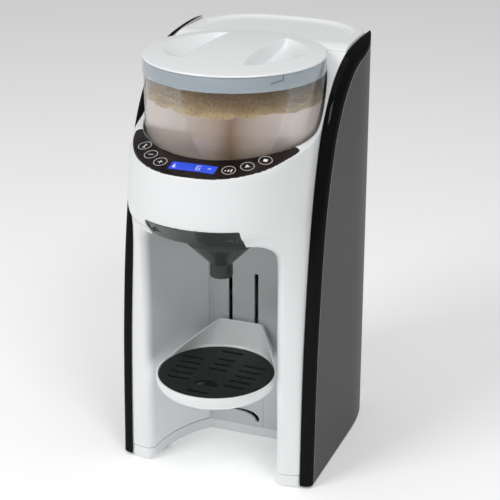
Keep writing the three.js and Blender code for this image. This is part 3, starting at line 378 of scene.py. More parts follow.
def soften(piece, voxel, passes, share=0.35):
    """Rounds every edge slightly: a fine even skin, relaxed, then thinned out."""
    remesh = piece.modifiers.new("skin", "REMESH")
    remesh.mode = "VOXEL"
    remesh.voxel_size = voxel * MM
    relax = piece.modifiers.new("relax", "SMOOTH")
    relax.factor = 0.5
    relax.iterations = passes
    thin = piece.modifiers.new("thin", "DECIMATE")
    thin.ratio = share
    bake(piece)
    return smooth(piece, 70)


def smooth(piece, degrees=32):
    piece.data.shade_smooth()
    piece.data.set_sharp_from_angle(angle=math.radians(degrees))
    return piece


def finish(piece, body, slot, *nodes):
    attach(piece, body)
    if nodes:
        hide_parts(*nodes)
    return piece


def loft(name, rings, material):
    """Skin over closed rings of equal count, each anticlockwise seen from the stack's far end."""
    count = len(rings[0])
    faces = []
    for level in range(len(rings) - 1):
        for i in range(count):
            a, b = level * count + i, level * count + (i + 1) % count
            faces.append((a, b, b + count, a + count))
    faces.append(tuple(range(count - 1, -1, -1)))
    faces.append(tuple(range((len(rings) - 1) * count, len(rings) * count)))
    return make(name, np.concatenate([np.asarray(r, float) for r in rings]), faces, material)


def slab(name, outline, z0, z1, material=WHITE):
    return loft(name, [[(x, y, z0) for x, y in outline], [(x, y, z1) for x, y in outline]], material)


def prism_x(name, outline, x0, x1, material=WHITE):
    """An outline in (y, z), anticlockwise seen from +X."""
    return loft(name, [[(x0, y, z) for y, z in outline], [(x1, y, z) for y, z in outline]], material)


def prism_y(name, outline, y0, y1, material=WHITE):
    """An outline in (x, z), anticlockwise seen from the front."""
    return loft(name, [[(x, y1, z) for x, z in outline], [(x, y0, z) for x, z in outline]], material)


def block(name, x0, x1, y0, y1, z0, z1, material=WHITE):
    return slab(name, [(x0, y0), (x1, y0), (x1, y1), (x0, y1)], z0, z1, material)


def circle(radius, segments):
    angles = [2 * math.pi * i / segments for i in range(segments)]
    return [(radius * math.cos(a), radius * math.sin(a)) for a in angles]


def turned(name, profile, segments, material=WHITE, x=0.0, y=0.0):
    """Revolves a closed (radius, z) profile, anticlockwise in the r-z plane; ends on the axis stay single."""
    points, rows = [], []
    for radius, z in profile:
        if radius < 1e-6:
            rows.append([len(points)] * segments)
            points.append((x, y, z))
        else:
            rows.append(list(range(len(points), len(points) + segments)))
            points += [(x + dx, y + dy, z) for dx, dy in circle(radius, segments)]
    faces = []
    closed = profile[0][0] > 1e-6
    pairs = list(zip(rows, rows[1:] + rows[:1])) if closed else list(zip(rows, rows[1:]))
    for low, high in pairs:
        for i in range(segments):
            j = (i + 1) % segments
            corner = [low[i], low[j], high[j], high[i]]
            face = [c for k, c in enumerate(corner) if c != corner[k - 1]]
            if len(face) > 2:
                faces.append(tuple(face))
    return make(name, points, faces, material)


def domed(name, top, wall, crowding, skirt, segments, rings, material):
    """A round piece: heights out to its wall, then rings going down and a flat closing face."""
    points = [(0.0, 0.0, top(0.0, 0.0))]
    for j in range(1, rings + 1):
        points += [(x, y, top(x, y)) for x, y in circle(wall * (j / rings) ** crowding, segments)]
    starts = [1 + j * segments for j in range(rings)]
    for radius, z in skirt:
        starts.append(len(points))
        points += [(x, y, z) for x, y in circle(radius, segments)]
    faces = [(0, 1 + i, 1 + (i + 1) % segments) for i in range(segments)]
    for a, b in zip(starts, starts[1:]):
        for i in range(segments):
            k = (i + 1) % segments
            faces.append((a + i, b + i, b + k, a + k))
    faces.append(tuple(starts[-1] + i for i in range(segments - 1, -1, -1)))
    return make(name, points, faces, material)


def disc(name, radius, z0, z1, segments=64, x=0.0, y=0.0, material=WHITE):
    return turned(name, [(0, z0), (radius, z0), (radius, z1), (0, z1)], segments, material, x, y)


def arc(cx, cy, radius, start, end, steps):
    """Points of a circular arc, angles in degrees."""
    angles = np.radians(np.linspace(start, end, steps + 1))
    return [(cx + radius * math.cos(a), cy + radius * math.sin(a)) for a in angles]


def rounded_rect(x0, x1, y0, y1, r, steps=6):
    return (
        arc(x1 - r, y0 + r, r, -90, 0, steps)
        + arc(x1 - r, y1 - r, r, 0, 90, steps)
        + arc(x0 + r, y1 - r, r, 90, 180, steps)
        + arc(x0 + r, y0 + r, r, 180, 270, steps)
    )


def monotone(table):
    """A smooth curve through (t, value) rows that doesn't overshoot them."""
    xs, ys = np.array([r[0] for r in table], float), np.array([r[1] for r in table], float)
    slopes = np.diff(ys) / np.diff(xs)
    tangents = np.zeros(len(xs))
    tangents[0], tangents[-1] = slopes[0], slopes[-1]
    for i in range(1, len(xs) - 1):
        if slopes[i - 1] * slopes[i] > 0:
            tangents[i] = 2 * slopes[i - 1] * slopes[i] / (slopes[i - 1] + slopes[i])

    def value(t):
        t = np.clip(np.asarray(t, float), xs[0], xs[-1])
        i = np.clip(np.searchsorted(xs, t, side="right") - 1, 0, len(xs) - 2)
        width = xs[i + 1] - xs[i]
        u = (t - xs[i]) / width
        return (
            ys[i] * (1 + 2 * u) * (1 - u) ** 2
            + tangents[i] * width * u * (1 - u) ** 2
            + ys[i + 1] * u**2 * (3 - 2 * u)
            + tangents[i + 1] * width * u**2 * (u - 1)
        )

    return value


# ------------------------------------------------------------------ body lines, as in the CAD
SIDE_POINTS = np.array(
    [(-58, 2), (-52, 134), (-39, 246), (-24, 314), (-7, 357), (21, 391), (56, 410), (100, 415.5), (150, 416)],
    float
)


def side_line(t):
    """Catmull-Rom curve through SIDE_POINTS, t from 0 to 1, as (y, z)."""
    spot = min(max(t, 0.0), 1.0) * (len(SIDE_POINTS) - 1)
    i = min(int(spot), len(SIDE_POINTS) - 2)
    w = spot - i
    p0, p1 = SIDE_POINTS[max(i - 1, 0)], SIDE_POINTS[i]
    p2, p3 = SIDE_POINTS[i + 1], SIDE_POINTS[min(i + 2, len(SIDE_POINTS) - 1)]
    v0, v1 = (p2 - p0) / 2, (p3 - p1) / 2
    return (2 * p1 - 2 * p2 + v0 + v1) * w**3 + (-3 * p1 + 3 * p2 - 2 * v0 - v1) * w**2 + v0 * w + p1


SIDE = np.array([side_line(t) for t in np.linspace(0, 1, 801)])
SIDE_LENGTH = np.concatenate([[0], np.cumsum(np.hypot(*np.diff(SIDE, axis=0).T))])
SIDE_LENGTH /= SIDE_LENGTH[-1]


def side_at(share):
    """Point and unit tangent of the side line at a share of its length."""
    point = np.array([np.interp(share, SIDE_LENGTH, SIDE[:, k]) for k in (0, 1)])
    ahead = np.array([np.interp(min(share + 0.004, 1), SIDE_LENGTH, SIDE[:, k]) for k in (0, 1)])
    behind = np.array([np.interp(max(share - 0.004, 0), SIDE_LENGTH, SIDE[:, k]) for k in (0, 1)])
    tangent = (ahead - behind) / np.linalg.norm(ahead - behind)
    return point, tangent


def side_offset(share, distance):
    point, tangent = side_at(share)
    return (point[0] + tangent[1] * distance, point[1] - tangent[0] * distance)


def side_y(z):
    return float(np.interp(z, SIDE[:, 1], SIDE[:, 0]))


RIM_HEIGHT = monotone(
    [
        (-88, 340), (-64, 344.5), (-32, 348.5), (-14, 353), (-3, 361), (5, 371), (21, 390), (40, 402),
        (56, 409), (80, 415), (200, 415)
    ]
)
PANEL_SLOPE = 0.27
NOSE_DEPTH = monotone(
    [
        (2, 9), (14, 9.2), (134, 24), (218, 43), (250, 57), (265, 70), (279, 86), (300, 92.5),
        (318, 96.8), (328, 99.5), (334, 99.5), (340, 95), (430, 95)
    ]
)
NOSE_ROUNDNESS = monotone([(2, 1.8), (218, 1.7), (265, 1.85), (279, 2), (300, 2.1), (430, 2.15)])


def top_height(x, y):
    r = math.hypot(x, y)
    rim_y = y * 88 / max(r, 88) if y < 0 else y
    slope = PANEL_SLOPE * min(1.0, -y / 30) if y < 0 else 0.0
    return float(RIM_HEIGHT(rim_y)) - slope * max(0.0, r - 88)


def nose_ring(z, inset, back_y, steps=96):
    y0 = min(side_y(z), -14.0)
    depth = float(NOSE_DEPTH(z)) - inset
    power = 2 / float(NOSE_ROUNDNESS(z))
    half = CORE_HALF - inset
    ring = []
    for i in range(steps + 1):
        angle = math.pi * i / steps
        c = math.cos(angle)
        x = -half * math.copysign(abs(c) ** power, c)
        ring.append((x, y0 - depth * abs(math.sin(angle)) ** power, z))
    return ring + [(half, back_y, z), (-half, back_y, z)]


def nose(name, inset, z0, z1, back_y, step=5.0):
    levels = np.linspace(z0, z1, max(2, int((z1 - z0) / step) + 1))
    return loft(name, [nose_ring(z, inset, back_y) for z in levels], WHITE)


def rear_y(x, inset):
    reach = min(1.0, abs(x) / (HALF_WIDTH - inset))
    return REAR_START + (
        REAR_Y - REAR_START - inset
    ) * (1 - reach**REAR_ROUNDNESS) ** (1 / REAR_ROUNDNESS)


def rear_outline(inset, half, front_y, steps=72):
    across = [half * math.cos(math.pi * i / steps) for i in range(steps + 1)]
    return [(-half, front_y), (half, front_y)] + [(x, rear_y(x, inset)) for x in across]


def bay_outline(margin, front_y, steps=24):
    side = []
    for i in range(steps + 1):
        t = i / steps
        a, b, c = (BAY_HALF + margin, -52), (BAY_HALF - 2 + margin, -8), (
            BAY_BACK_HALF + margin * 0.6, BAY_BACK_Y + margin
        )
        side.append(tuple((1 - t) ** 2 * a[k] + 2 * t * (1 - t) * b[k] + t**2 * c[k] for k in (0, 1)))
    right = [(BAY_HALF + margin, front_y)] + side
    return right + [(-x, y) for x, y in reversed(right)]


def arch_outline(half, top, corner, bottom=-5.0):
    return (
        [(-half, bottom), (half, bottom)]
        + arc(half - corner, top - corner, corner, 0, 90, 12)
        + arc(-half + corner, top - corner, corner, 90, 180, 12)
    )


def above_top(name, lift, radii=(76, 82, 86, 88, 91, 95, 100, 106, 113, 121, 138), steps=180):
    """Everything above the head's top surface, raised by lift, round the container."""
    points, faces = [], []
    across = len(radii) * 2
    for i in range(steps):
        angle = 2 * math.pi * i / steps
        ring = [(r * math.sin(angle), -r * math.cos(angle)) for r in radii]
        points += [(x, y, top_height(x, y) + lift) for x, y in ring]
        points += [(x, y, 470.0) for x, y in reversed(ring)]
    for i in range(steps):
        following = (i + 1) % steps
        for j in range(across):
            k = (j + 1) % across
            faces.append((i * across + j, following * across + j, following * across + k, i * across + k))
    return make(name, points, faces, WHITE)


def crescent(name, grow):
    """The control panel's column between the container's rim and the nose, with round tips."""
    power = 2 / 2.3
    half_width, depth = PANEL_HALF_WIDTH + grow, PANEL_DEPTH + grow
    outer = []
    for i in range(121):
        angle = -math.pi / 2 + math.pi * i / 120
        s = math.sin(angle)
        outer.append(
            (half_width * math.copysign(abs(s) ** power, s), -depth * max(0.0, math.cos(angle)) ** power)
        )
    column = slab(name, outer, PANEL_LOW, PANEL_HIGH)
    cut(column, disc("hole", PANEL_INNER - grow, 290, 410, 160))
    tip_x, tip_y = PANEL_TIP
    keep(column, block("front", -100, 100, -130, tip_y, 290, 410))
    for side in (-1, 1):
        radius = PANEL_TIP_RADIUS + grow
        join(column, disc("tip", radius, PANEL_LOW, PANEL_HIGH, 48, side * tip_x, tip_y))
    return column


# ------------------------------------------------------------------ white body
def arch_fillet(radius=8.0):
    """Tool that rounds the bay's front edge, from one foot up over the arch to the other."""
    path = [(BAY_HALF, z, 0.0) for z in np.linspace(-4, BAY_TOP - BAY_CORNER, 50)]
    path += [
        (
            BAY_HALF - BAY_CORNER + BAY_CORNER * math.cos(a),
            BAY_TOP - BAY_CORNER + BAY_CORNER * math.sin(a), a
        )
        for a in np.linspace(0, math.pi / 2, 14)[1:]
    ]
    path += [(x, BAY_TOP, math.pi / 2) for x in np.linspace(BAY_HALF - BAY_CORNER, 0, 14)[1:]]
    path += [(-x, z, math.pi - a) for x, z, a in reversed(path[:-1])]

    def front(x, z):
        zc = max(z, 2.0)
        reach = min(0.9999, abs(x) / CORE_HALF)
        m = float(NOSE_ROUNDNESS(zc))
        return min(side_y(zc), -14.0) - float(NOSE_DEPTH(zc)) * (1 - reach**m) ** (1 / m)

    rings = []
    for x, z, a in path:
        ox, oz = math.cos(a), math.sin(a)
        far_x, far_z = x + radius * ox, z + radius * oz
        y_front = front(far_x, far_z)
        ring = [(x - 3 * ox, y_front - 14, z - 3 * oz), (far_x, y_front - 14, far_z)]
        for k in range(9):
            b = math.pi / 2 * k / 8
            dx = radius * (1 - math.sin(b))
            dy = radius * (1 - math.cos(b))
            ring.append((x + dx * ox, y_front + dy, z + dx * oz))
        ring.append((x - 3 * ox, y_front + radius, z - 3 * oz))
        rings.append(ring)
    return loft("arch_fillet", rings, WHITE)


def body_shell():
    shell = nose("body_front", 0, BODY_BOTTOM, 425, 64)
    tuck = [side_offset(s, 18) for s in np.linspace(0, 1, 60)]
    tuck = [(y, z) for y, z in tuck if z > 24 and y < 62]
    region = [(-140, 10), (-42, 10)] + tuck + [(64, 388), (64, 440), (-140, 440)]
    keep(shell, prism_x("kept", region, -100, 100))
    cavity = slab("cavity", bay_outline(0, -150), -5, BAY_TOP)
    keep(cavity, prism_y("arch", arch_outline(BAY_HALF, BAY_TOP, BAY_CORNER), -160, 80))
    walls = slab("walls", bay_outline(BAY_WALL, -40), BODY_BOTTOM, BAY_TOP + BAY_WALL)
    keep(walls, block("sides", -100, 100, -50, BAY_BACK_Y - 0.4, 0, 300))
    join(shell, walls)
    hollow = nose("hollow", 3.0, BAY_TOP + 4.4, 420, 90)
    cut(hollow, above_top("under", -5.2))
    cut(
        shell,
        hollow,
        cavity,
        block("chin_notch", -FUNNEL_HALF - 0.6, FUNNEL_HALF + 0.6, -150, 4, 240, FUNNEL_TOP + 0.4),
        disc("head_opening", HEAD_OPENING, 300, 470, 200),
        above_top("top", 0),
        arch_fillet(),
    )
    recess = crescent("recess", 0.4)
    keep(recess, above_top("recess_depth", -3.3))
    cut(shell, recess, crescent("recess_opening", -3))
    soften(shell, 0.8, 5)
    shell.data.materials[0] = WHITE
    return finish(shell, "machine_body", "white_plastic", "front_shell")


def bay_back():
    """The bay's back wall with its hook slots, keyhole slot and service seam."""
    # Its white is the shell's plastic painted a shade darker: painted shade in the bay.
    wall = slab("bay_back_wall", bay_outline(BAY_WALL, 10), BODY_BOTTOM, BAY_TOP + BAY_WALL, BAY_PAINTED_SHADE_WHITE)
    keep(wall, block("rear", -60, 60, BAY_BACK_Y - 0.2, BAY_BACK_Y + 3, 0, 300))
    for x in (-14, 14):
        cut(wall, slab("hook_slot", rounded_rect(x - 2.2, x + 2.2, 15, 30, 1.5), 44.5, 186))
    # A drain slot that thins to the left and ends in a rounded hook.
    hook = [(-20, 29.4), (-8, 29.0), (2, 27.6), (9, 25.2), (12.4, 22.4), (13.4, 19.6)]
    hook += [
        (15.2, 18.6), (17.2, 19.4), (17.8, 22), (16, 26), (11, 29.6), (3, 31.4), (-8, 31.4), (-20, 30.6)
    ]
    cut(wall, prism_y("drain_slot", hook, 15, 30))
    cut(wall, block("service_seam", 21.6, 22.1, 15, 22.7, 10, 100))
    smooth(wall)
    return finish(wall, "machine_body", "liner_plastic", "bay_liner")


def base_pan():
    ring = slab("base_ring", rear_outline(3.6, CORE_HALF - 0.4, -40), BASE_BOTTOM, BASE_TOP)
    join(ring, nose("base_nose", 0.4, BASE_BOTTOM, BASE_TOP, 0))
    cut(
        ring, slab("bay", bay_outline(0, -150), -5, 40), arch_fillet(),
        slab("pocket", rear_outline(10, 76, 34), 5, 30)
    )
    for x, y in ((-72, -30), (72, -30), (-62, 130), (62, 130)):
        cut(ring, disc("foot_recess", 8.4, 0, 3.6, 40, x, y))
    soften(ring, 0.8, 4)
    return finish(ring, "machine_body", "white_plastic", "base_pan")


# ------------------------------------------------------------------ sides and back
ROLL = monotone([(0, 0), (4, 0.7), (7, 2.2), (9.5, 5.2), (11.2, 9), (12, 14)])
ROLL_WEIGHT = monotone([(0, 0.45), (0.35, 0.45), (0.62, 0.8), (0.72, 1), (1, 0.8)])
BAND_WIDTH = monotone([(0, 9), (0.3, 9), (0.5, 9.5), (0.62, 13), (0.72, 14.5), (1, 9)])


def side_block(name, inset, x_end, material):
    steps = 110
    rings = []
    for share in (0, 0.12, 0.25, 0.38, 0.5, 0.6, 0.7, 0.78, 0.85, 0.9, 0.94, 0.97, 0.99, 1.0):
        x = 90 + (x_end - 90) * share
        depth = float(ROLL(12 * share))
        curve = []
        for i in range(steps + 1):
            s = i / steps
            y, z = side_offset(s, depth * float(ROLL_WEIGHT(s)) + inset)
            curve.append((x, y, z))
        low = 2.6 - inset
        rings.append([(x, curve[0][1], low), (x, 190, low), (x, 190, curve[-1][2])] + curve[::-1])
    return loft(name, rings, material)


def seam_region(shift):
    band = [side_offset(s, float(BAND_WIDTH(s)) + shift) for s in np.linspace(0, 1, 90)]
    return prism_x("seam", [(band[0][0], -10), (200, -10), (200, band[-1][1])] + band[::-1], 80, 110)


def side_skin(name, material):
    skin = side_block(name, 0, 102, material)
    keep(skin, slab("plan", rear_outline(0, 102, -95, 120), 0, 440))
    hollow = side_block("hollow", 3, 99, material)
    keep(hollow, slab("inner_plan", rear_outline(3, 99, -95, 120), -5, 440))
    cut(skin, hollow, block("core", 80, 90.4, -95, 200, -5, 440))
    return keep(skin, block("above", 89, 110, -95, 200, 2.6, 440))


def mirrored(piece, name):
    twin = piece.copy()
    twin.data = piece.data.copy()
    twin.name = name
    bpy.context.scene.collection.objects.link(twin)
    for vertex in twin.data.vertices:
        vertex.co.x = -vertex.co.x
    twin.data.flip_normals()
    return twin


def sides():
    trim = side_skin("edge_band_right", GLOSS_BLACK)
    cut(trim, seam_region(-0.2))
    panel = side_skin("side_cover_right", CHARCOAL)
    keep(panel, seam_region(0.2))
    smooth(trim, 40)
    smooth(panel, 40)
    for piece, twin, part, slot in (
        (trim, "edge_band_left", "edge_trim", "gloss_black"),
        (panel, "side_cover_left", "side_panel", "charcoal_plastic")
    ):
        other = mirrored(piece, twin)
        finish(piece, "machine_body", slot, part + "_right")
        finish(other, "machine_body", slot, part + "_left")


def back_cover():
    cover = slab("back_cover", rear_outline(0, CORE_HALF, 100), BODY_BOTTOM, TANK_BOTTOM - 1, CHARCOAL)
    cut(cover, slab("inside", rear_outline(3, CORE_HALF + 5, 80), BODY_BOTTOM - 5, TANK_BOTTOM + 5))
    cut(cover, block("front_half", -100, 100, 90, 128, 0, 300))
    for i in range(5):
        z = 158 + i * 9
        cut(cover, prism_y("vent", rounded_rect(-36, 36, z, z + 3, 1.45), 150, 190))
    cut(cover, prism_y("inlet_hole", rounded_rect(-12.4, 12.4, 30, 48, 2), 150, 190))
    smooth(cover, 34)
    return finish(cover, "machine_body", "charcoal_plastic", "back_panel")


# ------------------------------------------------------------------ water tank and its lid
def tank():
    vessel = slab("rear_tank", rear_outline(0, 88.8, TANK_FRONT_Y), TANK_BOTTOM, TANK_TOP, SMOKE)
    cut(vessel, slab("cavity", rear_outline(2.6, 86, TANK_FRONT_Y + 2.6), TANK_BOTTOM + 3, TANK_TOP + 5))
    join(vessel, block("hinge_pad", -16, 16, 171.5, 177.9, 400, 406.5))
    knuckle = prism_x("knuckle", arc(HINGE_Y, HINGE_Z, 3, 0, 360, 24)[:-1], -15, 15)
    join(vessel, join(knuckle, block("web", -15, 15, HINGE_Y - 3, HINGE_Y + 2.9, 404, HINGE_Z)))
    for x in (-21.4, 21.4):
        cut(vessel, block("ear_notch", x - 5.5, x + 5.5, 168, 190, 405.6, 420))
    cut(vessel, prism_x("bore", arc(HINGE_Y, HINGE_Z, 1.55, 0, 360, 20)[:-1], -30, 30))
    cut(vessel, disc("valve_hole", 5.4, 200, TANK_BOTTOM + 8, 32, 0, 132))
    join(vessel, turned("guide", [(5.4, 217), (8.4, 217), (8.4, 230), (5.4, 230)], 48, SMOKE, 0, 132))
    for i in range(6):
        z = 258 + i * 24
        length = 9 if i % 2 else 15
        join(
            vessel,
            block("level_mark", -length, length, rear_y(0, 0) - 1.4, rear_y(0, 0) + 0.35, z, z + 0.9)
        )
    smooth(vessel, 34)
    return finish(vessel, "water_tank", "smoke_plastic", "water_tank")


def tapered(outline):
    """Draws the deck in a little towards its rear corners."""
    return [(x * (1 - 0.035 * min(1.0, max(0.0, (y - 72) / 50))), y) for x, y in outline]


def deck():
    """The tank's lid: a dished deck that wraps round behind the powder container."""
    under = DECK_TOP - 7
    lid = slab("tank_deck", tapered(rear_outline(3.2, CORE_HALF - 0.4, 64.4, 120)), under, DECK_TOP)
    dish = loft(
        "dish",
        [
            [(x, y, DECK_TOP - 2.8) for x, y in tapered(rear_outline(20, CORE_HALF - 13, 92, 120))],
            [(x, y, DECK_TOP - 2.0) for x, y in tapered(rear_outline(15.5, CORE_HALF - 9.4, 88, 120))],
            [(x, y, DECK_TOP + 0.4) for x, y in tapered(rear_outline(9, CORE_HALF - 6, 84, 120))],
            [(x, y, DECK_TOP + 4) for x, y in tapered(rear_outline(9, CORE_HALF - 6, 84, 120))],
        ],
        WHITE,
    )
    cut(lid, dish, disc("clearance", 91, 390, 440, 200))
    cut(lid, above_top("front_slope", 0.5, (85, 90, 96, 104, 114, 126, 140, 160, 182, 206)))
    cut(lid, slab("under_pocket", rear_outline(6, CORE_HALF - 3, 97), under - 1, DECK_TOP - 5))
    relief = prism_x("relief", arc(HINGE_Y, HINGE_Z, 5, 0, 360, 32)[:-1], -17, 17)
    cut(lid, relief, block("knuckle_room", -15.6, 15.6, 170.6, 190, 395, DECK_TOP - 2.4))
    for side in (-1, 1):
        x = side * 21.4
        ear = prism_x("ear", arc(HINGE_Y, HINGE_Z, 2.9, 0, 360, 28)[:-1], x - 5, x + 5)
        join(ear, block("ear_web", x - 5, x + 5, HINGE_Y - 3.6, HINGE_Y, HINGE_Z - 2.5, HINGE_Z + 1.5))
        join(lid, ear)
    cut(lid, prism_x("pin_bore", arc(HINGE_Y, HINGE_Z, 1.55, 0, 360, 20)[:-1], -40, 40))
    cut(lid, prism_y("finger_notch", arc(-CORE_HALF + 0.4, under + 0.5, 4.2, 0, 360, 28)[:-1], 70, 86))
    soften(lid, 0.7, 4)
    return finish(lid, "tank_lid", "white_plastic", "tank_lid")


# ------------------------------------------------------------------ powder container
def tub():
    vessel = turned(
        "powder_tub",
        [
            (12.6, TUB_BOTTOM), (TUB_FOOT_RADIUS - 1.5, TUB_BOTTOM), (TUB_FOOT_RADIUS, TUB_BOTTOM + 1.5),
            (TUB_FOOT_RADIUS, TUB_FOOT_TOP - 1), (TUB_RADIUS, TUB_FOOT_TOP + 3), (TUB_RADIUS, 411.4),
            (TUB_RADIUS - 0.6, 412), (TUB_RADIUS - 1.4, 412), (TUB_RADIUS - 2, 411.4),
            (TUB_RADIUS - 2, TUB_FOOT_TOP + 4),
            (TUB_FOOT_RADIUS - 2, TUB_FOOT_TOP), (TUB_FOOT_RADIUS - 2, TUB_BOTTOM + 3.4),
            (TUB_FOOT_RADIUS - 3, TUB_BOTTOM + 2.4), (12.6, TUB_BOTTOM + 2.4),
        ],
        192,
        CLEAR,
    )
    cut(vessel, disc("outlet", 11, 310, 330, 40, 0, CHUTE_Y))
    smooth(vessel, 40)
    return finish(vessel, "powder_container", "clear_plastic", "powder_container")


def collar():
    """Translucent ring round the container's mouth, with the lid's bayonet slots."""
    outer, inner = LID_RADIUS - 0.6, TUB_RADIUS + 0.2
    top = LID_BOTTOM - 0.6
    ring = turned(
        "mouth_collar",
        [
            (inner, COLLAR_BOTTOM), (outer - 0.3, COLLAR_BOTTOM), (outer, COLLAR_BOTTOM + 0.4),
            (outer, top - 0.3), (outer - 0.3, top), (inner, top)
        ],
        192,
        COLLAR,
    )
    smooth(ring, 40)
    finish(ring, "powder_container", "collar_plastic", "container_collar")
    # The slot's dark line: along, then up to the rim, as it passes round the ring.
    mark_radius = outer + 0.06
    for index in range(3):
        start = math.radians(-46 + 120 * index)
        width = 12.0 / mark_radius
        rise = [(start - 0.006, 409.7, 2.2)] + [
            (start + width * t, 409.9 + 1.6 * t, 0.9) for t in np.linspace(0, 1, 9)
        ]
        points, faces = [], []
        for angle, z, tall in rise:
            for radius in (mark_radius - 0.3, mark_radius + 0.12):
                for dz in (-tall / 2, tall / 2):
                    points.append((radius * math.cos(angle), radius * math.sin(angle), z + dz))
        for k in range(len(rise) - 1):
            a, b = 4 * k, 4 * k + 4
            for i, j in ((0, 1), (1, 3), (3, 2), (2, 0)):
                faces.append((a + i, a + j, b + j, b + i))
        faces += [(0, 2, 3, 1), (len(points) - 4, len(points) - 3, len(points) - 1, len(points) - 2)]
        mark = make(f"bayonet_mark_{index + 1}", points, faces, SEAM_GREY)
        end = start + width
        upright = [
            (mark_radius - 0.3, end - 0.006), (mark_radius + 0.12, end - 0.006),
            (mark_radius + 0.12, end + 0.006), (mark_radius - 0.3, end + 0.006)
        ]
        join(
            mark,
            slab("upright", [(r * math.cos(a), r * math.sin(a)) for r, a in upright], 411.2, top - 0.1)
        )
        finish(smooth(mark), "powder_container", "collar_plastic")


def powder():
    """Loose powder: crumbly on top, pressed smooth against the clear wall."""
    rng = np.random.default_rng(7)
    segments, rings = 300, 90
    wall = TUB_RADIUS - 2.25
    blobs = [
        (
            rng.uniform(-80, 80), rng.uniform(-80, 80), rng.uniform(2.0, 6.0), rng.uniform(-1.3, 1.5)
        ) for _ in range(1500)
    ]
    centres = np.array([b[:2] for b in blobs])
    widths, heights = np.array([b[2] for b in blobs]), np.array([b[3] for b in blobs])

    def top(x, y):
        d2 = ((np.array([x, y]) - centres) ** 2).sum(1)
        crumbs = float((heights * np.exp(-d2 / widths**2)).sum())
        heap = 3.0 * math.exp(-((x + 8) ** 2 + (y - 18) ** 2) / 2600)
        return POWDER_TOP + 3.6 + heap + crumbs + 1.5 * math.sin(x / 19 + 1) * math.cos(y / 23)

    foot = TUB_FOOT_RADIUS - 2.3
    levels = [
        (wall, 368.0),
        (wall, 355.0),
        (wall, TUB_FOOT_TOP + 4.8),
        (foot, TUB_FOOT_TOP + 0.4),
        (foot, 334.6),
        (66.5, 334.6),
        (66.5, 346.5),
        (3, 346.5),
    ]
    heap = domed("powder_heap", top, wall, 0.9, levels, segments, rings, POWDER)
    heap.data.materials.append(PRESSED_POWDER)
    for polygon in heap.data.polygons[rings * segments :]:
        polygon.material_index = 1
    smooth(heap, 60)
    return finish(heap, "powder_container", "powder", "formula_powder")


# Finger scoops of the lid: rows of y with the bar's edge, the wall's foot and the outer edge, as
# distances from the lid's middle line.
SCOOPS = {
    1: {"ends": (-47, 61), "bar": [(-47, 27), (-16, 21.5), (16, 20), (40, 23), (61, 29)],
        "foot": [(-47, 28), (-36, 35), (0, 31.5), (30, 29.5), (61, 30)],
        "outer": [
            (-47, 28), (-41, 38), (-33, 46), (-18, 57), (-5, 64), (10, 67), (27, 63), (42, 54), (54, 42),
            (61, 30)
        ],
        "depth": 10.5},
    -1: {"ends": (-41, 64), "bar": [(-41, 37), (0, 34.5), (64, 32)],
         "foot": [(-41, 39), (0, 38.5), (40, 36.5), (64, 33)],
         "outer": [
             (-41, 40), (-36, 52), (-28, 61), (-17, 67.5), (-5, 71), (6, 72), (20, 70), (36, 64),
             (50, 54), (58, 45), (64, 33)
         ],
         "depth": 8.5},
}


def lid_heights(xs, ys):
    """Height of the lid's top on a grid, with the two scoops, slightly blurred."""
    x, y = np.meshgrid(xs, ys, indexing="ij")
    r = np.hypot(x, y)
    z = LID_BOTTOM + 4.2 - 2.4 * (r / LID_RADIUS) ** 2
    for side, scoop in SCOOPS.items():
        u = x * side
        low, high = scoop["ends"]
        inside = (y > low) & (y < high)
        yc = np.clip(y, low, high)
        bar, foot, outer = (monotone(scoop[k])(yc) for k in ("bar", "foot", "outer"))
        middle = (low + high) / 2
        swell = np.sqrt(np.clip(1 - np.abs((yc - middle) / ((high - low) / 2)) ** 2.6, 0, 1))
        depth = scoop["depth"] * swell
        wall = np.clip((u - bar) / np.maximum(foot - bar, 0.8), 0, 1)
        floor = np.clip((u - foot) / np.maximum(outer - foot, 0.8), 0, 1)
        drop = np.where(u < foot, depth * wall, depth * (1 - floor) ** 1.25)
        drop = np.where(inside & (u > bar) & (u < outer), drop, 0)
        z = z - drop
    for _ in range(3):
        z = (z + np.roll(z, 1, 0) + np.roll(z, -1, 0) + np.roll(z, 1, 1) + np.roll(z, -1, 1)) / 5
    return z


def lid():
    """The powder lid: a low dome with two finger scoops that leave a grip bar between them."""
    grid = np.arange(-92, 92.01, 0.5)
    heights = lid_heights(grid, grid)

    def height(x, y):
        fx, fy = (x - grid[0]) / 0.5, (y - grid[0]) / 0.5
        i, j = int(fx), int(fy)
        a, b = fx - i, fy - j
        near = heights[i, j] * (1 - a) + heights[i + 1, j] * a
        far = heights[i, j + 1] * (1 - a) + heights[i + 1, j + 1] * a
        return near * (1 - b) + far * b

    rim_z = LID_BOTTOM + 1.9
    skirt = [
        (LID_RADIUS - 0.7, rim_z - 0.25),
        (LID_RADIUS - 0.2, rim_z - 0.7),
        (LID_RADIUS, rim_z - 1.2),
        (LID_RADIUS - 0.2, LID_BOTTOM),
        (72.6, 413.0),
        (72.6, 404.0),
        (30, 404.0),
    ]
    cover = domed("grip_lid", height, LID_RADIUS - 1.4, 1.0, skirt, 420, 130, WHITE)
    smooth(cover, 50)
    return finish(cover, "powder_lid", "white_plastic", "powder_lid")


# ------------------------------------------------------------------ control panel
def panel_layer(piece, lift, thickness):
    keep(piece, above_top("bottom", lift - thickness))
    return cut(piece, above_top("top", lift))


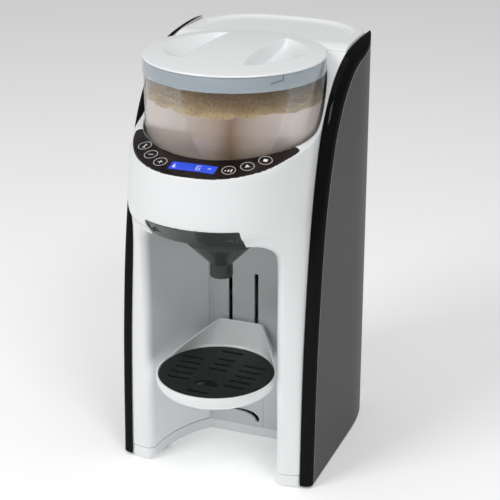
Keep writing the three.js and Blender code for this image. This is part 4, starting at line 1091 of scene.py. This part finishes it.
def controls():
    face = crescent("control_face", 0)
    for x, y in BUTTONS.values():
        cut(face, disc("button_hole", BUTTON_RADIUS + 0.3, PANEL_LOW, PANEL_HIGH, 64, x, y))
    edge = 0.3
    cut(
        face,
        block(
            "display_hole", -LCD_HALF_WIDTH - edge, LCD_HALF_WIDTH + edge, LCD_Y - LCD_HALF_DEPTH - edge,
            LCD_Y + LCD_HALF_DEPTH + edge, PANEL_LOW, PANEL_HIGH
        )
    )
    panel_layer(face, 0.3, 2.5)
    face.data.materials[0] = PANEL_BLACK
    finish(smooth(face, 30), "machine_body", "panel_black", "control_panel")
    inks = {"powder_setting_button": PRINT_GREY, "start_button": PRINT_GREEN, "stop_button": PRINT_RED}
    for name, (x, y) in BUTTONS.items():
        cap = disc(name.replace("_button", "_cap"), BUTTON_RADIUS, PANEL_LOW, PANEL_HIGH, 64, x, y)
        panel_layer(cap, 0.4, 2.3)
        join(cap, disc("stem", 1.6, 324.8, top_height(x, y) - 1.2, 20, x, y))
        cap.data.materials[0] = PANEL_BLACK
        finish(smooth(cap, 30), name, "panel_black", name)
        ink = inks.get(name, PRINT_GREY)
        inner, outer = BUTTON_RADIUS - 0.5, BUTTON_RADIUS - 0.05
        outline = turned(
            "outline", [(inner, PANEL_LOW), (outer, PANEL_LOW), (outer, PANEL_HIGH), (inner, PANEL_HIGH)],
            72, ink, x, y
        )
        panel_layer(outline, 0.48, 0.2)
        outline.name = name.replace("_button", "_outline")
        outline.data.materials[0] = ink
        finish(smooth(outline), name, "panel_black")
        symbol(name, x, y, ink)


def bars_for(name):
    """Generic symbols as small bars (x0, x1, y0, y1) about the button's middle."""
    return {
        "volume_up_button": [(-2.6, 2.6, -0.35, 0.35), (-0.35, 0.35, -2.6, 2.6)],
        "volume_down_button": [(-2.6, 2.6, -0.35, 0.35)],
        "temperature_button": [
            (-0.35, 0.35, -2.6, 2.8), (-1.2, 1.2, -3.2, -2.0), (0.9, 2.0, 1.4, 1.9), (0.9, 2.0, 0.0, 0.5)
        ],
        "powder_setting_button": [(-3.2, -2.0, -2.2, -0.6), (-0.6, 0.6, -2.2, 0.8), (2.0, 3.2, -2.2, 2.2)],
        "start_button": [
            (-1.6, -1.0, -2.4, 2.4), (-1.0, 0.2, -1.7, 1.7), (0.2, 1.3, -1.0, 1.0), (1.3, 2.2, -0.4, 0.4)
        ],
        "stop_button": [(-1.9, 1.9, -1.9, 1.9)],
    }[name]


def printed(name, bars, lift, ink):
    """Flat marks: bars (x0, x1, y0, y1) joined and laid on the panel."""
    marks = None
    for x0, x1, y0, y1 in bars:
        bar = block("bar", x0, x1, y0, y1, PANEL_LOW, PANEL_HIGH, ink)
        marks = bar if marks is None else join(marks, bar)
    panel_layer(marks, lift, 0.2)
    marks.name = name
    marks.data.materials[0] = ink
    return marks


def symbol(name, x, y, ink):
    bars = [(x + x0, x + x1, y + y0, y + y1) for x0, x1, y0, y1 in bars_for(name)]
    marks = printed(name.replace("_button", "_symbol"), bars, 0.48, ink)
    finish(smooth(marks), name, "panel_black")


def display():
    glass = block(
        "display_glass", -LCD_HALF_WIDTH, LCD_HALF_WIDTH, LCD_Y - LCD_HALF_DEPTH, LCD_Y + LCD_HALF_DEPTH,
        PANEL_LOW, PANEL_HIGH
    )
    panel_layer(glass, 0.15, 3.3)
    glass.data.materials[0] = LCD
    finish(smooth(glass), "machine_body", "display_blue", "display_module")
    # A numeral of seven-segment bars, a small unit mark and a bottle symbol.
    w, t, h = 1.8, 0.3, 2.9
    cx, cy = 5.2, LCD_Y
    bars = [
        (-w, w, h - t, h + t), (-w - t, -w + t, 0, h), (-w, w, -t, t), (-w - t, -w + t, -h, 0),
        (w - t, w + t, -h, 0), (-w, w, -h - t, -h + t)
    ]
    marks = [(cx + a, cx + b, cy + c, cy + d) for a, b, c, d in bars]
    marks += [(14.2, 15.4, cy + 0.4, cy + 1.6), (16.0, 17.2, cy + 0.4, cy + 1.6)]
    marks += [
        (-19.4, -17.4, cy - 3.0, cy + 0.4), (-18.9, -17.9, cy + 0.4, cy + 2.6),
        (-17.4, -15.6, cy - 3.0, cy - 2.4)
    ]
    finish(printed("display_marks", marks, 0.22, LCD_MARK), "machine_body", "display_blue")


# ------------------------------------------------------------------ funnel
def funnel():
    rim, cone_top = FUNNEL_RIM, SPOUT_TOP + FUNNEL_RIM - SPOUT_RADIUS
    cone = turned(
        "mixing_funnel",
        [
            (SPOUT_RADIUS - 2, SPOUT_BOTTOM), (SPOUT_RADIUS, SPOUT_BOTTOM), (SPOUT_RADIUS, SPOUT_TOP),
            (rim - 0.8, cone_top - 0.8), (rim, cone_top + 1), (rim, 272.4), (rim - 2.4, 272.4),
            (rim - 2.4, cone_top + 1.4), (SPOUT_RADIUS - 2, SPOUT_TOP + 1),
        ],
        120, FUNNEL_GREY, 0, FUNNEL_Y,
    )
    hole = disc("mouth", rim - 2.4, 255, 280, 100, 0, FUNNEL_Y)
    plate = block("plate", -45.4, 45.4, -82, -0.6, 270, 272.4)
    join(plate, block("neck", -41.4, 41.4, -103, -80, 270, 272.4))
    cut(plate, hole)

    def chin(name, z0, z1, inset, back0, back1):
        rings = []
        for z, back in ((z0, back0), (z1, back1)):
            rings.append([(x, y + back, z) for x, y, _ in nose_ring(FUNNEL_TOP, inset, -40)])
        return loft(name, rings, FUNNEL_GREY)

    flange = chin("flange", 261, FUNNEL_TOP, 0, 20, 0.4)
    cut(flange, chin("flange_inside", 260, FUNNEL_TOP + 1, 2.6, 21, 0))
    keep(flange, block("flange_width", -FUNNEL_HALF, FUNNEL_HALF, -130, -60, 258, FUNNEL_TOP))
    floor = block("flange_floor", -41, 41, -112, -100, 270, 272.4)
    keep(floor, chin("flange_room", 260, FUNNEL_TOP, 1, 21, 0))
    join(cone, plate, flange, floor)
    soften(cone, 0.6, 4, 0.4)
    cone.data.materials[0] = FUNNEL_GREY
    return finish(cone, "funnel", "funnel_plastic", "funnel")


# ------------------------------------------------------------------ drip tray
TRAY_FLOOR = TRAY_TOP - 16
SHIELD_TOP = TRAY_TOP + 26


def shield():
    """The tray's back: a curved sheet from the rim's rear half up to the hooks' plate."""
    steps = 40
    outer, inner = [], []
    for k in range(steps + 1):
        share = k / steps
        angle = math.radians(18 + 144 * share)
        rim_x, rim_y = TRAY_RADIUS * math.cos(angle), TRAY_Y + TRAY_RADIUS * math.sin(angle)
        run = min(share, 1 - share) * 2
        rise = min(1.0, run / 0.62)
        side = 1 if share < 0.5 else -1
        top_x = side * (
            56.6 + (23 - 56.6) * rise
        ) if run < 0.62 else side * 23 * (1 - (run - 0.62) / 0.38)
        top_y = -32.6 + (15.5 + 32.6) * rise
        top_z = TRAY_TOP + (SHIELD_TOP - TRAY_TOP) * rise**0.85
        outer.append(((rim_x, rim_y, TRAY_TOP - 3), (top_x, top_y, top_z)))
        centre = np.array((0, TRAY_Y, 0))
        shrink = 1 - 1.8 / TRAY_RADIUS
        low = np.array((rim_x, rim_y, TRAY_TOP - 3)) - centre
        high = np.array((top_x, top_y, top_z)) - centre
        inner.append((tuple(low * (shrink, shrink, 1) + centre), tuple(high * (0.97, 0.972, 1) + centre)))
    points, rows = [], 9
    for outer_pair, inner_pair in zip(outer, inner):
        for pair in (outer_pair, inner_pair):
            low, high = np.array(pair[0]), np.array(pair[1])
            points += [tuple(low + (high - low) * j / rows) for j in range(rows + 1)]
    faces = []
    column = 2 * (rows + 1)
    for k in range(steps):
        a, b = k * column, (k + 1) * column
        for j in range(rows):
            faces.append((a + j, b + j, b + j + 1, a + j + 1))
            i = rows + 1
            faces.append((a + i + j, a + i + j + 1, b + i + j + 1, b + i + j))
        faces.append((a, a + rows + 1, b + rows + 1, b))
        faces.append((a + rows, b + rows, b + 2 * rows + 1, a + 2 * rows + 1))
    for start, flip in ((0, False), (steps * column, True)):
        for j in range(rows):
            face = (start + j, start + j + 1, start + rows + 2 + j, start + rows + 1 + j)
            faces.append(face[::-1] if flip else face)
    return make("shield", points, faces, WHITE)


def tray():
    floor = TRAY_FLOOR
    dish = turned(
        "tray_dish",
        [
            (0, floor), (47, floor), (51, floor + 0.5), (54.6, floor + 2.2), (57.4, floor + 5),
            (59, floor + 8.6), (TRAY_RADIUS, floor + 12), (TRAY_RADIUS, TRAY_TOP),
            (TRAY_RADIUS - 2.2, TRAY_TOP), (TRAY_RADIUS - 2.2, floor + 11), (55.2, floor + 6.6),
            (52, floor + 4), (46, floor + 2.4), (0, floor + 2.4)
        ],
        180, WHITE, 0, TRAY_Y,
    )
    for x in (-14, 14):
        bracket = block("bracket", x - 1.8, x + 1.8, 14, 17.4, TRAY_TOP + 2, TRAY_TOP + 20)
        join(bracket, block("hook", x - 1.8, x + 1.8, 17, 26, TRAY_TOP + 8, TRAY_TOP + 14))
        join(bracket, block("hook_tip", x - 1.8, x + 1.8, 24.8, 27.4, TRAY_TOP + 6, TRAY_TOP + 14))
        cut(bracket, disc("dish_room", TRAY_RADIUS + 4, 80, 160, 100, 0, TRAY_Y))
        join(dish, bracket)
    back = prism_y(
        "back_plate",
        [
            (-34, floor + 4), (34, floor + 4), (34, TRAY_TOP), (23, SHIELD_TOP - 1),
            (-23, SHIELD_TOP - 1), (-34, TRAY_TOP)
        ],
        14.4, 17.4
    )
    shelf = block("shelf", -30, 30, -2, 15.5, floor + 4, floor + 6.4)
    cut(shelf, disc("dish_room", TRAY_RADIUS - 1.4, 80, 130, 100, 0, TRAY_Y))
    join(dish, back, shelf, shield())
    soften(dish, 0.6, 4, 0.4)
    return finish(dish, "drip_tray", "white_plastic", "drip_tray")


def grate():
    top = TRAY_TOP - 0.4
    plate = turned(
        "tray_grate",
        [
            (0, top - 2.6), (TRAY_RADIUS - 2.8, top - 2.6), (TRAY_RADIUS - 2.8, top - 0.6),
            (TRAY_RADIUS - 3.4, top), (0, top)
        ],
        160, GRATE, 0, TRAY_Y
    )

    def slot(x, y, length):
        return slab(
            "slot", rounded_rect(x - length / 2, x + length / 2, y - 1.7, y + 1.7, 1.65, 5), 80, 130
        )

    for side in (-1, 1):
        for i in range(5):
            cut(plate, slot(side * (29.5 + 0.8 * i), TRAY_Y - 25 + i * 11.5, 23))
    cut(plate, slot(0, TRAY_Y - 46, 23), slot(0, TRAY_Y + 44, 23))
    for i in range(3):
        cut(plate, slot(0, TRAY_Y + 4 + i * 11.5, 18))
    # Half-moon finger hole.
    moon_y = TRAY_Y - 30
    moon = [(1.5 + x, moon_y + y * 0.8) for x, y in arc(0, 0, 12, 0, 180, 24)]
    moon += [(-7, moon_y - 2.6), (1.5, moon_y - 2.2), (10, moon_y - 2.6)]
    cut(plate, slab("finger_hole", moon, 80, 130))
    for i in range(3):
        angle = 2 * math.pi * i / 3 + math.pi / 2
        join(
            plate,
            disc(
                "leg", 2, TRAY_FLOOR + 3, TRAY_TOP - 2.8, 24, 40 * math.cos(angle),
                TRAY_Y + 40 * math.sin(angle)
            )
        )
    soften(plate, 0.5, 3, 0.4)
    return finish(plate, "drip_grate", "grate_plastic", "drip_grate")


# ------------------------------------------------------------------ CAD nodes that stay
FEET = [f"rubber_foot_{end}_{side}" for end in ("front", "rear") for side in ("left", "right")]
KEPT_LOOKS = [
    (RUBBER, FEET + ["power_inlet"]),
    (STEEL, ["frame_screw_1", "frame_screw_2", "tank_hinge_pin", "tank_valve_spring"]),
    (STEEL, ["motor_pinion", "gear_motor", "drive_plate"]),
    (GEAR, ["tank_valve_stem", "tank_valve_cage", "dosing_wheel", "stirring_arm", "drive_gear"]),
    (LINER, ["funnel_guide", "tank_bulkhead"]),
    (WHITE, ["lid_inner_plate", "container_cradle"]),
    (FUNNEL_GREY, ["tank_seat", "powder_chute", "water_pump"]),
    (ALUMINIUM, ["inner_frame", "water_heater"]),
    (BOARD, ["control_board", "power_board"]),
    (SILICONE, ["lid_seal", "tank_hose", "pump_hose", "heater_hose", "water_nozzle"]),
]
ROUND_NODES = {
    "tank_hose", "pump_hose", "heater_hose", "water_nozzle", "tank_valve_spring", "tank_valve_stem",
    "lid_seal",
}


def dress_kept_nodes():
    for name, material in [(name, material) for material, names in KEPT_LOOKS for name in names]:
        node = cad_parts[name]
        node.data.materials.clear()
        node.data.materials.append(material)
        if name not in ROUND_NODES:
            bevel = node.modifiers.new("edges", "BEVEL")
            bevel.width = 0.3 * MM
            bevel.segments = 2
            bevel.angle_limit = math.radians(40)
        node.data.shade_smooth()
        node.data.set_sharp_from_angle(angle=math.radians(35))


# ------------------------------------------------------------------ stage, light and camera
def flat_material(name, color, roughness, glow):
    material, nodes, links, shader = new_material(name)
    cloud = noise(nodes, 3.0, 3.0)
    object_space(nodes, links, cloud)
    stops = [(0.3, scaled(color, 0.985)), (0.7, color)]
    tone(nodes, links, cloud.outputs["Fac"], stops, shader.inputs["Base Color"])
    shader.inputs["Roughness"].default_value = roughness
    shader.inputs["Emission Color"].default_value = color
    shader.inputs["Emission Strength"].default_value = glow
    return material


def stage():
    mesh = bpy.data.meshes.new("floor")
    size = 6.0
    mesh.from_pydata(
        [(-size, -size, 0), (size, -size, 0), (size, size, 0), (-size, size, 0)], [], [(0, 1, 2, 3)]
    )
    mesh.materials.append(flat_material("studio_floor", (0.93, 0.93, 0.93, 1.0), 0.7, 0.26))
    floor = bpy.data.objects.new("floor", mesh)
    bpy.context.scene.collection.objects.link(floor)


def area_light(name, place, aim, width, height, power):
    light = bpy.data.lights.new(name, "AREA")
    light.shape = "RECTANGLE"
    light.size, light.size_y = width, height
    light.energy = power
    lamp = bpy.data.objects.new(name, light)
    lamp.location = place
    lamp.rotation_euler = (Vector(aim) - Vector(place)).to_track_quat("-Z", "Y").to_euler()
    bpy.context.scene.collection.objects.link(lamp)


def lighting():
    world = bpy.data.worlds.new("studio")
    bpy.context.scene.world = world
    world.use_nodes = True
    background = world.node_tree.nodes["Background"]
    background.inputs["Color"].default_value = (1.0, 1.0, 1.0, 1.0)
    background.inputs["Strength"].default_value = 0.27
    centre = (0, 0, 0.22)
    area_light("key_left", (-0.9, -1.4, 1.8), centre, 0.9, 0.9, 20)
    area_light("front_right", (1.0, -1.1, 2.0), centre, 0.6, 0.6, 13)
    area_light("top", (0.0, 0.2, 1.9), centre, 1.6, 1.6, 6)
    bpy.context.scene.view_settings.view_transform = "Standard"


def camera():
    data = bpy.data.cameras.new("camera")
    data.lens = 108
    data.sensor_width = 36
    lens = bpy.data.objects.new("camera", data)
    lens.location = (0.509, -1.272 + AXIS_Y, 0.772)
    lens.rotation_euler = (math.radians(68.0), 0, math.radians(21.2))
    bpy.context.scene.collection.objects.link(lens)
    bpy.context.scene.camera = lens


camera()
body_shell()
bay_back()
base_pan()
sides()
back_cover()
tank()
deck()
tub()
collar()
powder()
lid()
controls()
display()
funnel()
tray()
grate()
dress_kept_nodes()
stage()
lighting()
